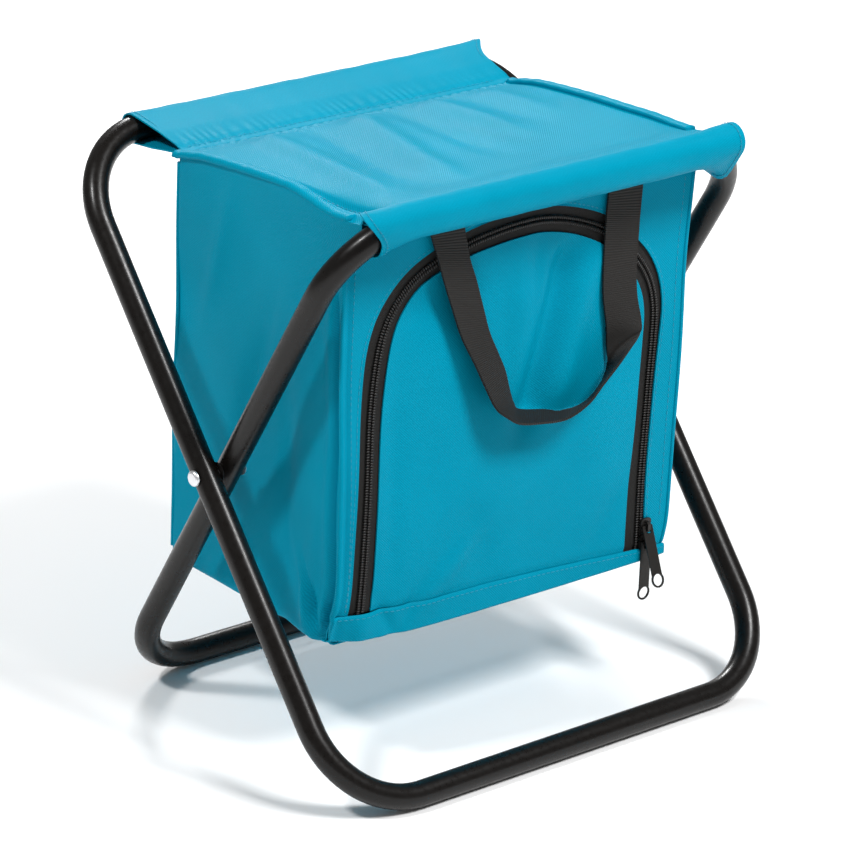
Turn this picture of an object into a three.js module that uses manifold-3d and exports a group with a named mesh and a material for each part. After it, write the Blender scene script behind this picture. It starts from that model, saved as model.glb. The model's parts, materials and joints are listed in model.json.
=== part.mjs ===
// Folding stool with a cool bag hung under its fabric seat.
// Millimetres, +Z up, front of the bag toward -Y, origin on the floor below the pivots.
import * as THREE from 'three';
import { mergeVertices } from 'three/addons/utils/BufferGeometryUtils.js';
import Module from 'manifold-3d';

const wasm = await Module();
wasm.setup();

const DEG = Math.PI / 180;
const QUARTER_TURN = Math.PI / 2;

// Clearance between pieces that touch, and how far a cutting tool runs past its work
const GAP = 0.3;
const OVERRUN = 2;

// Steel tube of both loops
const TUBE_DIAMETER = 18;
const TUBE_WALL = 1;
const TUBE_SIDES = 16;
const BEND_RADIUS = 62.5;
const BEND_STEPS = 8;

// Loops, measured from the pivot line to the middle of each bar
const OUTER_HALF_WIDTH = 192.5;
const OUTER_UPPER = 243;
const OUTER_LOWER = 243;
const INNER_UPPER = 231;
const OUTER_TILT = 39.5 * DEG;
const INNER_TILT = 30.672 * DEG;

// Butt joint of each tube, hidden in its sleeve
const JOINT_SLOT = 0.6;
const SPIGOT_LENGTH = 50;
const SPIGOT_WALL = 1.2;

// Pivot rivets and washers
const RIVET_SHANK_DIAMETER = 5.4;
const RIVET_HOLE_DIAMETER = 6;
const RIVET_HEAD_DIAMETER = 11;
const RIVET_HEAD_HEIGHT = 2.4;
const RIVET_CLINCH_DIAMETER = 8.4;
const RIVET_CLINCH_HEIGHT = 1.4;
const SPACER_DIAMETER = 14;
const SPACER_THICKNESS = 0.5;
const CLINCH_WASHER_DIAMETER = 12;
const CLINCH_WASHER_THICKNESS = 0.8;
const RIVET_SIDES = 20;
const RIVET_HEAD_STEPS = 5;
const RIVET_CLINCH_STEPS = 4;

// Fabric, foam and foil
const FABRIC = 1.2;
const FOAM = 4;
const FOIL = 0.5;

// Bag: its distance from the inner loop's side bars, its front's height, and how its faces stand to the tabs
const BAG_CLEARANCE = 16.4;
const FRONT_HEIGHT = 284.6;
const FRONT_STANDOFF = 0.2;
const REAR_SETBACK = 1.8;
const BAND_HEIGHT = 10;

// Sleeves that wrap the two top bars, each drawn to a sewn tab; each end wraps a length of the bend
const SLEEVE_WALL = 1;
const SLEEVE_CLEARANCE = 0.4;
const SLEEVE_ARC_STEPS = 12;
const TAB_LENGTH = 8;
const TAB_THICKNESS = 2.6;
// How far the tip of each tab stands in from the middle of its bar, and below it
const REAR_TAB_INSET = 58.27;
const REAR_TAB_DROP = 2.04;
const FRONT_TAB_INSET = 31.54;
const FRONT_TAB_DROP = 22.12;
const SLEEVE_BEND_STEPS = 4;
const REAR_WRAP_LEFT = 18;
const REAR_WRAP_RIGHT = 38;
const FRONT_WRAP_LEFT = 40.1;
const FRONT_WRAP_RIGHT = 49.1;

// Seat cloth: its rise from the rear seam to the front bar, and its soft ridges
const SEAT_OVERHANG = 1.5;
const SEAT_RISE = 20;
const SEAT_RIDGE_HEIGHT = 1.1;
const SEAT_RIDGE_PITCH = 62;
const SEAT_RIDGE_SLANT = 0.55;
const SEAT_FRONT_ANGLE = 38 * DEG;
const SEAT_COLUMNS = 24;
const SEAT_ROWS_PER_STRETCH = 3;
const SEAT_PROFILE_SHARES = [[0, 0], [0.17, 0.34], [0.4, 0.52], [0.66, 0.62], [0.88, 0.8], [1, 1]];
const BINDING_WIDTH = 5;
const BINDING_THICKNESS = 2;
const BINDING_INSET = 6;
// Each corner: share of the width and of the thickness
const BINDING_SECTION_SHARES = [[0, 0], [1, 0], [0.85, 0.8], [0.5, 1], [0.15, 0.8]];

// Zip: an arch round the front flap, set in from the bag's sides and top
const ZIP_INSET = 24;
const ZIP_HEADROOM = 14.6;
const ZIP_RISE = 92;
const ZIP_OPENING_HALF = 9.7;
const ZIP_TAPE_HALF = 12;
const ZIP_TAPE_THICKNESS = 0.6;
const ZIP_CHAIN_HALF = 3.1;
const ZIP_CHAIN_SPLIT = 0.3;
const ZIP_CHAIN_THICKNESS = 2.4;
const ZIP_CHAIN_PROUD = 0.6;
const ARCH_STEPS = 18;

// Zip sliders and their pulls
const SLIDER_WIDTH = 9.4;
const SLIDER_HEIGHT = 11;
const SLIDER_PLATE = 1.5;
const SLIDER_CORNER = 3;
const SLIDER_CORNER_STEPS = 4;
const SLIDER_SPACING = 11.6;
const BRIDGE_WIDTH = 2.6;
const BRIDGE_SPAN = 7;
const BRIDGE_RISE = 3.6;
const BRIDGE_BAR = 1.3;
const PULL_LENGTH = 38;
const PULL_WIDTH = 9;
const PULL_THICKNESS = 1.2;
const PULL_EYE_DIAMETER = 11;
const PULL_EYE_HOLE = 8.4;
const PULL_EYE_STEPS = 8;
const PULL_WINDOW_LENGTH = 5;
const PULL_WINDOW_WIDTH = 4.4;
const UPPER_PULL_TILT = 21 * DEG;

// Webbing handle sewn under the front sleeve
const WEBBING_WIDTH = 30;
const WEBBING_THICKNESS = 1.6;
const HANDLE_SPREAD = 152;
const HANDLE_SHIFT = 3;
const HANDLE_HEADROOM = 2.2;
const HANDLE_DROP = 148;
const HANDLE_PROUD = 18;
const HANDLE_STEPS = 30;
// Each row: share of the spread, of the drop, of how far it stands proud, and of the half turn of its twist
const HANDLE_ROUTE_SHARES = [
  [0, 0, 0, 0], [0.01, 0.1, 0.16, 0.02], [0.05, 0.24, 0.36, 0.08], [0.16, 0.5, 0.62, 0.2],
  [0.27, 0.75, 0.88, 0.34], [0.37, 0.93, 1, 0.45], [0.48, 1, 1, 0.5], [0.66, 0.985, 1, 0.5],
  [0.84, 0.95, 1, 0.52], [0.96, 0.85, 0.92, 0.62], [1, 0.7, 0.72, 0.8], [1, 0.5, 0.5, 0.94],
  [1, 0.26, 0.3, 1], [1, 0.1, 0.14, 1], [1, 0, 0, 1],
];

// Sizes that follow from the ones above
const TUBE_RADIUS = TUBE_DIAMETER / 2;
const HALF_FACET = Math.PI / TUBE_SIDES;
const BAR_FLAT = TUBE_RADIUS * Math.cos(HALF_FACET);
const INNER_HALF_WIDTH = OUTER_HALF_WIDTH - TUBE_DIAMETER - SPACER_THICKNESS - 2 * GAP;
const BAG_HALF_WIDTH = INNER_HALF_WIDTH - TUBE_RADIUS - BAG_CLEARANCE;
const ZIP_HALF_WIDTH = BAG_HALF_WIDTH - ZIP_INSET;
const PIVOT_HEIGHT = OUTER_LOWER * Math.cos(OUTER_TILT) + BAR_FLAT;
const INNER_LOWER = (OUTER_LOWER * Math.cos(OUTER_TILT)) / Math.cos(INNER_TILT);

// Middle of each top bar, and what hangs from it
const REAR_BAR_Y = OUTER_UPPER * Math.sin(OUTER_TILT);
const REAR_BAR_Z = PIVOT_HEIGHT + OUTER_UPPER * Math.cos(OUTER_TILT);
const FRONT_BAR_Y = -INNER_UPPER * Math.sin(INNER_TILT);
const FRONT_BAR_Z = PIVOT_HEIGHT + INNER_UPPER * Math.cos(INNER_TILT);
const REAR_TAB_TIP_Y = REAR_BAR_Y - REAR_TAB_INSET;
const REAR_TAB_TIP_Z = REAR_BAR_Z - REAR_TAB_DROP;
const FRONT_TAB_TIP_Y = FRONT_BAR_Y + FRONT_TAB_INSET;
const FRONT_TAB_TIP_Z = FRONT_BAR_Z - FRONT_TAB_DROP;
const BAG_FRONT = FRONT_STANDOFF - FRONT_TAB_TIP_Y;
const BAG_REAR = REAR_TAB_TIP_Y - REAR_SETBACK;
const FRONT_TOP = FRONT_TAB_TIP_Z - TAB_THICKNESS / 2;
const REAR_TOP = REAR_TAB_TIP_Z - FABRIC;
const BAG_BOTTOM = FRONT_TOP - FRONT_HEIGHT;
const BAND_TOP = BAG_BOTTOM + BAND_HEIGHT;
const ZIP_SPRING = FRONT_TOP - ZIP_HEADROOM - ZIP_RISE;

// A loop tilts about the pivot line; its section is turned so that a flat side faces the floor
const OUTER_LOOP = {
  halfWidth: OUTER_HALF_WIDTH,
  upper: OUTER_UPPER,
  lower: OUTER_LOWER,
  tilt: -OUTER_TILT,
};
const INNER_LOOP = {
  halfWidth: INNER_HALF_WIDTH,
  upper: INNER_UPPER,
  lower: INNER_LOWER,
  tilt: INNER_TILT,
};

// Finishes
const finish = (color, roughness, metalness) => ({ color, roughness, metalness });
const STEEL = finish(0x2c2926, 0.32, 0.6);
const BRIGHT_STEEL = finish(0xb9bdc2, 0.3, 1);
const CLOTH = finish(0x19a3c2, 0.85, 0);
const CLOTH_SHADE = finish(0x1194b3, 0.85, 0);
const BLACK_WEBBING = finish(0x262321, 0.8, 0);
const BLACK_NYLON = finish(0x1f1d1c, 0.55, 0);
const BLACK_METAL = finish(0x33312f, 0.4, 0.8);
const WHITE_FOAM = finish(0xe8ebea, 0.9, 0);
const SILVER_FOIL = finish(0xc8ccd0, 0.35, 0.7);

const stool = new THREE.Group();

function addPiece(name, geometry, look, place = new THREE.Group()) {
  const mesh = new THREE.Mesh(geometry, new THREE.MeshStandardMaterial(look));
  mesh.name = name;
  place.add(mesh);
  if (!place.parent) stool.add(place);
  return mesh;
}

// A plain closed mesh with only positions and shared corners
function weld(geometry) {
  const plain = geometry.clone();
  for (const key of Object.keys(plain.attributes)) {
    if (key !== 'position') plain.deleteAttribute(key);
  }
  return mergeVertices(plain);
}

function toManifold(geometry) {
  const plain = weld(geometry);
  return new wasm.Manifold(new wasm.Mesh({
    numProp: 3,
    vertProperties: new Float32Array(plain.attributes.position.array),
    triVerts: new Uint32Array(plain.index.array),
  }));
}

function fromManifold(solid) {
  const mesh = solid.getMesh();
  const geometry = new THREE.BufferGeometry();
  geometry.setAttribute('position', new THREE.BufferAttribute(new Float32Array(mesh.vertProperties), 3));
  geometry.setIndex(new THREE.BufferAttribute(new Uint32Array(mesh.triVerts), 1));
  geometry.computeVertexNormals();
  return geometry;
}

const cut = (geometry, ...tools) => fromManifold(
  tools.reduce((solid, tool) => solid.subtract(toManifold(tool)), toManifold(geometry)));

const join = (...geometries) => fromManifold(
  geometries.map(toManifold).reduce((solid, next) => solid.add(next)));

// Builds a closed mesh from points and faces, turned so that it faces outward
function closedMesh(points, faces) {
  const a = new THREE.Vector3();
  let volume = 0;
  for (const [i, j, k] of faces) volume += a.crossVectors(points[i], points[j]).dot(points[k]);
  const index = volume < 0 ? faces.map(([i, j, k]) => [i, k, j]) : faces;
  const geometry = new THREE.BufferGeometry();
  geometry.setFromPoints(points);
  geometry.setIndex(index.flat());
  geometry.computeVertexNormals();
  return geometry;
}

// Faces of the skin between one ring of points and the next
function skinFaces(rings, count, start) {
  const faces = [];
  for (let i = 0; i + 1 < rings; i += 1) {
    for (let j = 0; j < count; j += 1) {
      const a = start + i * count + j;
      const b = start + i * count + ((j + 1) % count);
      faces.push([a, b, b + count], [a, b + count, a + count]);
    }
  }
  return faces;
}

// A solid bar lofted through rings of points
function loftSolid(rings) {
  const count = rings[0].length;
  const points = rings.flat();
  const faces = skinFaces(rings.length, count, 0);
  const last = (rings.length - 1) * count;
  for (let j = 1; j + 1 < count; j += 1) {
    faces.push([0, j + 1, j], [last, last + j, last + j + 1]);
  }
  return closedMesh(points, faces);
}

// A tube lofted through rings, open at both ends
function loftTube(outer, inner) {
  const count = outer[0].length;
  const shift = outer.length * count;
  const points = [...outer.flat(), ...inner.flat()];
  const inward = skinFaces(inner.length, count, shift).map(([a, b, c]) => [a, c, b]);
  const faces = [...skinFaces(outer.length, count, 0), ...inward];
  const last = (outer.length - 1) * count;
  for (let j = 0; j < count; j += 1) {
    const k = (j + 1) % count;
    faces.push([k, j, shift + j], [k, shift + j, shift + k]);
    faces.push([last + j, last + k, last + shift + k], [last + j, last + shift + k, last + shift + j]);
  }
  return closedMesh(points, faces);
}

// A sheet over a grid, between an upper and a lower surface
function sheet(xs, ys, upper, lower) {
  const grid = (surface) => ys.flatMap((y) => xs.map((x) => new THREE.Vector3(x, y, surface(x, y))));
  const points = [...grid(upper), ...grid(lower)];
  const columns = xs.length;
  const under = columns * ys.length;
  const faces = [];
  for (let r = 0; r + 1 < ys.length; r += 1) {
    for (let c = 0; c + 1 < columns; c += 1) {
      const a = r * columns + c;
      const b = a + 1;
      const d = a + columns;
      const e = d + 1;
      faces.push([a, b, e], [a, e, d], [under + a, under + e, under + b], [under + a, under + d, under + e]);
    }
  }
  const side = (a, b) => faces.push([b, a, under + a], [b, under + a, under + b]);
  for (let c = 0; c + 1 < columns; c += 1) {
    side(c, c + 1);
    side(under - c - 1, under - c - 2);
  }
  for (let r = 0; r + 1 < ys.length; r += 1) {
    side((r + 1) * columns, r * columns);
    side(r * columns + columns - 1, (r + 1) * columns + columns - 1);
  }
  return closedMesh(points, faces);
}

// Turns a closed mesh so that its faces point outward
function faceOutward(geometry) {
  const plain = weld(geometry);
  const { position } = plain.attributes;
  const pointAt = (_, i) => new THREE.Vector3().fromBufferAttribute(position, i);
  const points = Array.from({ length: position.count }, pointAt);
  const corners = Array.from(plain.index.array);
  const faces = Array.from({ length: corners.length / 3 }, (_, i) => corners.slice(3 * i, 3 * i + 3));
  return closedMesh(points, faces);
}

const steps = (count) => Array.from({ length: count + 1 }, (_, i) => i / count);
const between = (from, to, share) => from + (to - from) * share;

// A flat outline in X and Z, given a thickness from the face at y toward +Y
function plateXZ(shape, y, thickness) {
  const plate = new THREE.ExtrudeGeometry(
    shape, { depth: thickness, bevelEnabled: false, curveSegments: ARCH_STEPS });
  plate.rotateX(Math.PI / 2);
  plate.translate(0, y + thickness, 0);
  return plate;
}

// A flat outline in Y and Z, given a thickness from the face at x toward +X
function plateYZ(shape, x, thickness) {
  const plate = new THREE.ExtrudeGeometry(shape, { depth: thickness, bevelEnabled: false });
  const turn = new THREE.Matrix4().makeBasis(
    new THREE.Vector3(0, 1, 0), new THREE.Vector3(0, 0, 1), new THREE.Vector3(1, 0, 0));
  plate.applyMatrix4(turn);
  plate.translate(x, 0, 0);
  return plate;
}

function box(x0, x1, y0, y1, z0, z1) {
  const geometry = new THREE.BoxGeometry(x1 - x0, y1 - y0, z1 - z0);
  geometry.translate((x0 + x1) / 2, (y0 + y1) / 2, (z0 + z1) / 2);
  return geometry;
}

const outlineShape = (points) => new THREE.Shape(points.map(([x, y]) => new THREE.Vector2(x, y)));

// Points of a loop in its own plane take their place on the tilted stool
function loopToWorld(loop, vector, isPoint = true) {
  const placed = vector.clone().applyAxisAngle(new THREE.Vector3(1, 0, 0), loop.tilt);
  if (isPoint) placed.z += PIVOT_HEIGHT;
  return placed;
}

// Middle line of a loop from its joint slot round to the slot again, with the outward direction at each step
function loopStations(loop) {
  const stations = [];
  const slot = JOINT_SLOT / 2;
  const corners = [
    [1, loop.upper - BEND_RADIUS, 1], [1, BEND_RADIUS - loop.lower, 0],
    [-1, BEND_RADIUS - loop.lower, -1], [-1, loop.upper - BEND_RADIUS, -2],
  ];
  stations.push({ x: slot, z: loop.upper, nx: 0, nz: 1 });
  for (const [side, z, quarter] of corners) {
    for (const share of steps(BEND_STEPS)) {
      const angle = (quarter - share) * QUARTER_TURN;
      const nx = Math.cos(angle);
      const nz = Math.sin(angle);
      const middle = side * (loop.halfWidth - BEND_RADIUS);
      stations.push({ x: middle + BEND_RADIUS * nx, z: z + BEND_RADIUS * nz, nx, nz });
    }
  }
  stations.push({ x: -slot, z: loop.upper, nx: 0, nz: 1 });
  return stations;
}

// Ring of tube section points round a station, one flat side square to the floor under the bottom bar
function sectionRing(loop, station, radius) {
  return steps(TUBE_SIDES).slice(0, -1).map((share) => {
    const angle = -loop.tilt + HALF_FACET + share * 2 * Math.PI;
    const out = radius * Math.cos(angle);
    return loopToWorld(loop, new THREE.Vector3(
      station.x + out * station.nx, radius * Math.sin(angle), station.z + out * station.nz));
  });
}

function rivetHoleTool(fromX, toX) {
  const radius = RIVET_HOLE_DIAMETER / 2;
  const tool = new THREE.CylinderGeometry(radius, radius, toX - fromX, RIVET_SIDES);
  tool.rotateZ(Math.PI / 2);
  tool.translate((fromX + toX) / 2, 0, PIVOT_HEIGHT);
  return tool;
}

function loopTube(loop) {
  const stations = loopStations(loop);
  const skin = (radius) => stations.map((station) => sectionRing(loop, station, radius));
  const tube = loftTube(skin(TUBE_RADIUS), skin(TUBE_RADIUS - TUBE_WALL));
  const reach = TUBE_RADIUS + OVERRUN;
  const holes = [-1, 1].map((side) => {
    const middle = side * loop.halfWidth;
    return rivetHoleTool(middle - reach, middle + reach);
  });
  return cut(tube, ...holes);
}

// Short tube inside the butt joint
function jointSpigot(loop) {
  const ends = [-SPIGOT_LENGTH / 2, SPIGOT_LENGTH / 2].map((x) => ({ x, z: loop.upper, nx: 0, nz: 1 }));
  const radius = TUBE_RADIUS - TUBE_WALL - GAP;
  const skin = (r) => ends.map((station) => sectionRing(loop, station, r));
  return loftTube(skin(radius), skin(radius - SPIGOT_WALL));
}

// A turned piece on the pivot line: profile pairs are radius and distance from the outside of the stool
function turnedOnPivot(side, profile, outsideX) {
  const geometry = new THREE.LatheGeometry(profile.map(([r, d]) => new THREE.Vector2(r, -d)), RIVET_SIDES);
  geometry.rotateZ(-Math.PI / 2);
  if (side < 0) geometry.rotateZ(Math.PI);
  geometry.translate(side * outsideX, 0, PIVOT_HEIGHT);
  return faceOutward(geometry);
}

function addPivot(side, word) {
  const outside = OUTER_HALF_WIDTH + TUBE_RADIUS + GAP;
  const inside = INNER_HALF_WIDTH - TUBE_RADIUS - GAP;
  const shank = RIVET_SHANK_DIAMETER / 2;
  const head = RIVET_HEAD_DIAMETER / 2;
  const clinch = RIVET_CLINCH_DIAMETER / 2;
  const grip = outside - inside + CLINCH_WASHER_THICKNESS + GAP;
  const dome = steps(RIVET_HEAD_STEPS).map((share) => {
    const angle = share * QUARTER_TURN;
    return [head * Math.sin(angle), -RIVET_HEAD_HEIGHT * Math.cos(angle)];
  });
  const roll = steps(RIVET_CLINCH_STEPS).map((share) => {
    const angle = share * QUARTER_TURN;
    return [clinch * Math.cos(angle), grip + RIVET_CLINCH_HEIGHT * Math.sin(angle)];
  });
  roll[roll.length - 1][0] = 0;
  const rivet = [...dome, [shank, 0], [shank, grip], ...roll];
  addPiece(`pivot_rivet_${word}`, turnedOnPivot(side, rivet, outside), BRIGHT_STEEL);

  const ring = (outer, thickness) => {
    const bore = RIVET_HOLE_DIAMETER / 2;
    return [[bore, 0], [outer / 2, 0], [outer / 2, thickness], [bore, thickness], [bore, 0]];
  };
  const spacerX = OUTER_HALF_WIDTH - TUBE_RADIUS - GAP;
  const spacer = turnedOnPivot(side, ring(SPACER_DIAMETER, SPACER_THICKNESS), spacerX);
  addPiece(`spacer_washer_${word}`, spacer, BLACK_NYLON);
  const washer = turnedOnPivot(side, ring(CLINCH_WASHER_DIAMETER, CLINCH_WASHER_THICKNESS), inside);
  addPiece(`clinch_washer_${word}`, washer, BRIGHT_STEEL);
}

// Point on a loop's top bar at a distance from its middle, with the direction of the tube there
function barStation(loop, distance) {
  const straight = loop.halfWidth - BEND_RADIUS;
  const side = Math.sign(distance);
  const turn = Math.max(0, Math.abs(distance) - straight) / BEND_RADIUS;
  const x = side * (Math.min(Math.abs(distance), straight) + BEND_RADIUS * Math.sin(turn));
  const z = loop.upper - BEND_RADIUS * (1 - Math.cos(turn));
  const along = new THREE.Vector3(Math.cos(turn), 0, -side * Math.sin(turn));
  return {
    point: loopToWorld(loop, new THREE.Vector3(x, 0, z)),
    along: loopToWorld(loop, along, false),
  };
}

// Cloth round the bar at one station, drawn out to the tab: arc first, then the two corners of the tab
function teardropRing(station, tip, radius, tabHalf) {
  const toTip = tip.clone().sub(station.point);
  toTip.addScaledVector(station.along, -toTip.dot(station.along));
  const reach = toTip.length();
  toTip.normalize();
  const across = station.along.clone().cross(toTip);
  const open = Math.acos(radius / reach);
  const ring = steps(SLEEVE_ARC_STEPS).map((share) => {
    const angle = between(open, 2 * Math.PI - open, share);
    return station.point.clone()
      .addScaledVector(toTip, radius * Math.cos(angle))
      .addScaledVector(across, radius * Math.sin(angle));
  });
  ring.push(tip.clone().addScaledVector(across, -tabHalf), tip.clone().addScaledVector(across, tabHalf));
  return ring;
}

function sleeve(loop, left, right, tipY, tipZ) {
  const straight = loop.halfWidth - BEND_RADIUS;
  const distances = [
    ...steps(SLEEVE_BEND_STEPS).map((share) => between(-straight - left, -straight, share)),
    ...steps(SLEEVE_BEND_STEPS).map((share) => between(straight, straight + right, share)),
  ];
  const outer = [];
  const inner = [];
  for (const distance of distances) {
    const station = barStation(loop, distance);
    const x = THREE.MathUtils.clamp(station.point.x, -BAG_HALF_WIDTH, BAG_HALF_WIDTH);
    const tip = new THREE.Vector3(x, tipY, tipZ);
    const back = station.point.clone().sub(tip).setLength(TAB_LENGTH);
    const bore = TUBE_RADIUS + SLEEVE_CLEARANCE;
    outer.push(teardropRing(station, tip, bore + SLEEVE_WALL, TAB_THICKNESS / 2));
    inner.push(teardropRing(station, tip.clone().add(back), bore, (TAB_THICKNESS - 2 * SLEEVE_WALL) / 2));
  }
  return loftTube(outer, inner);
}

// Seat cloth: the line it runs on from the rear seam to the back of the front bar
const sleeveRadius = TUBE_RADIUS + SLEEVE_CLEARANCE + SLEEVE_WALL;
const seatRearY = REAR_TAB_TIP_Y - TAB_THICKNESS / 2;
const seatFrontY = FRONT_BAR_Y + (sleeveRadius + GAP) * Math.cos(SEAT_FRONT_ANGLE);
const seatRearZ = FRONT_BAR_Z + (sleeveRadius + GAP) * Math.sin(SEAT_FRONT_ANGLE) - SEAT_RISE;
const seatHalf = BAG_HALF_WIDTH + SEAT_OVERHANG;

function seatLine(y) {
  const share = THREE.MathUtils.clamp((seatRearY - y) / (seatRearY - seatFrontY), 0, 1);
  const next = Math.max(1, SEAT_PROFILE_SHARES.findIndex(([along]) => along >= share));
  const [a0, h0] = SEAT_PROFILE_SHARES[next - 1];
  const [a1, h1] = SEAT_PROFILE_SHARES[next];
  return seatRearZ + SEAT_RISE * between(h0, h1, (share - a0) / (a1 - a0));
}

// Y of each place where the seat line changes slope, and a finer set that holds them all
const seatKnees = SEAT_PROFILE_SHARES.map(([along]) => between(seatRearY, seatFrontY, along));
const seatRows = seatKnees.slice(1).flatMap((y, i) => steps(SEAT_ROWS_PER_STRETCH).slice(0, -1)
  .map((share) => between(seatKnees[i], y, share))).concat(seatFrontY).reverse();
const rowsWithin = (rows, front, rear) => [front, ...rows.filter((y) => y > front && y < rear), rear];

function seatTop(x, y) {
  const share = (seatRearY - y) / (seatRearY - seatFrontY);
  const calm = (1 - (x / seatHalf) ** 2) * Math.sin(Math.PI * share);
  const ridge = Math.cos((2 * Math.PI * (x + SEAT_RIDGE_SLANT * y)) / SEAT_RIDGE_PITCH);
  return seatLine(y) + FABRIC + SEAT_RIDGE_HEIGHT * (1 + ridge) * Math.max(0, calm);
}

function addSeat() {
  const xs = steps(SEAT_COLUMNS).map((share) => between(-seatHalf, seatHalf, share));
  const cloth = sheet(xs, seatRows, seatTop, (x, y) => seatTop(x, y) - FABRIC);
  addPiece('seat_panel', cloth, CLOTH);

  // Folded and stitched edge on each side of the seat
  const rear = seatRearY - BINDING_INSET;
  const front = -BAG_FRONT + BINDING_INSET;
  const edgeYs = seatRows.filter((y) => y > front && y < rear);
  for (const [side, word] of [[-1, 'left'], [1, 'right']]) {
    const rings = edgeYs.map((y) => {
      const lift = seatTop(side * (seatHalf - 2 * BINDING_WIDTH), y) + GAP;
      return BINDING_SECTION_SHARES.map(([across, up]) => new THREE.Vector3(
        side * (seatHalf - BINDING_WIDTH * across), y, lift + BINDING_THICKNESS * up));
    });
    addPiece(`seat_binding_${word}`, loftSolid(rings), CLOTH);
  }
}

// A side wall whose top edge follows the underside of the seat
function sideWall(x, thickness, front, rear, bottom, below) {
  const ys = rowsWithin([...seatKnees].reverse(), front, rear).reverse();
  const crest = ys.map((y) => [y, seatLine(y) - below]);
  return plateYZ(outlineShape([[front, bottom], [rear, bottom], ...crest]), x, thickness);
}

function addBagWalls() {
  const foamFace = BAG_HALF_WIDTH - FABRIC - GAP;
  const foilFace = foamFace - FOAM - GAP;
  const front = -BAG_FRONT + FABRIC + GAP;
  const rear = BAG_REAR - FABRIC - GAP;
  const foamRear = rear - FOAM - GAP;
  const floorTop = BAG_BOTTOM + FABRIC + GAP;
  const foamFloor = floorTop + FOAM + GAP;
  const innerFront = front + ZIP_TAPE_THICKNESS + GAP;
  const layers = [
    ['panel', BAG_HALF_WIDTH, FABRIC, front, rear, BAG_BOTTOM, GAP, CLOTH_SHADE],
    ['insulation', foamFace, FOAM, innerFront, rear, floorTop, GAP, WHITE_FOAM],
    ['liner', foilFace, FOIL, innerFront, foamRear, foamFloor, 2 * GAP + FOAM, SILVER_FOIL],
  ];
  for (const [side, word] of [[-1, 'left'], [1, 'right']]) {
    for (const [layer, face, thickness, y0, y1, bottom, below, look] of layers) {
      const x = side < 0 ? -face : face - thickness;
      addPiece(`${word}_side_${layer}`, sideWall(x, thickness, y0, y1, bottom, below), look);
    }
  }

  const foamHalf = foilFace;
  const foilHalf = foilFace - FOIL - GAP;
  addPiece('rear_panel', box(
    -BAG_HALF_WIDTH, BAG_HALF_WIDTH, BAG_REAR - FABRIC, BAG_REAR, BAG_BOTTOM, REAR_TOP), CLOTH);
  const rearFoamTop = seatLine(rear) - GAP - FOAM - GAP;
  addPiece('rear_insulation', box(
    -foamHalf, foamHalf, rear - FOAM, rear, foamFloor, rearFoamTop), WHITE_FOAM);
  addPiece('rear_liner', box(
    -foilHalf, foilHalf, foamRear - GAP - FOIL, foamRear - GAP, foamFloor + FOIL + GAP,
    rearFoamTop - FOIL), SILVER_FOIL);

  const clothInside = BAG_HALF_WIDTH - FABRIC - GAP;
  addPiece('bottom_panel', box(
    -clothInside, clothInside, front, rear, BAG_BOTTOM, BAG_BOTTOM + FABRIC), CLOTH_SHADE);
  addPiece('bottom_insulation', box(
    -foamHalf, foamHalf, innerFront, rear, floorTop, floorTop + FOAM), WHITE_FOAM);
  addPiece('bottom_liner', box(
    -foilHalf, foilHalf, innerFront, foamRear - GAP, foamFloor, foamFloor + FOIL), SILVER_FOIL);

  // Insulation and foil under the seat, following its line
  const across = (half) => [-half, half];
  const along = (front0, rear0) => rowsWithin([...seatKnees].reverse(), front0, rear0);
  const foamTop = (x, y) => seatLine(y) - GAP;
  addPiece('top_insulation', sheet(
    across(foamHalf), along(innerFront, rear), foamTop, (x, y) => foamTop(x, y) - FOAM), WHITE_FOAM);
  const foilTop = (x, y) => foamTop(x, y) - FOAM - GAP;
  addPiece('top_liner', sheet(
    across(foilHalf), along(innerFront, foamRear - 2 * GAP - FOIL), foilTop,
    (x, y) => foilTop(x, y) - FOIL), SILVER_FOIL);
}

// Outline of the zip arch at a distance outside its middle line, from the foot on the right to the left
function archLine(offset, foot) {
  const a = ZIP_HALF_WIDTH + offset;
  const b = ZIP_RISE + offset;
  const crown = steps(ARCH_STEPS).map((share) => {
    const angle = Math.PI * share;
    return [a * Math.cos(angle), ZIP_SPRING + b * Math.sin(angle)];
  });
  return [[a, foot], ...crown, [-a, foot]];
}

const archStrip = (inside, outside, foot) => outlineShape(
  [...archLine(outside, foot), ...archLine(inside, foot).reverse()]);

const clothBack = -BAG_FRONT + FABRIC;
const tapeFace = clothBack + GAP;
const chainFace = -BAG_FRONT - ZIP_CHAIN_PROUD;
const flapFoot = BAND_TOP + GAP;

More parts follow.
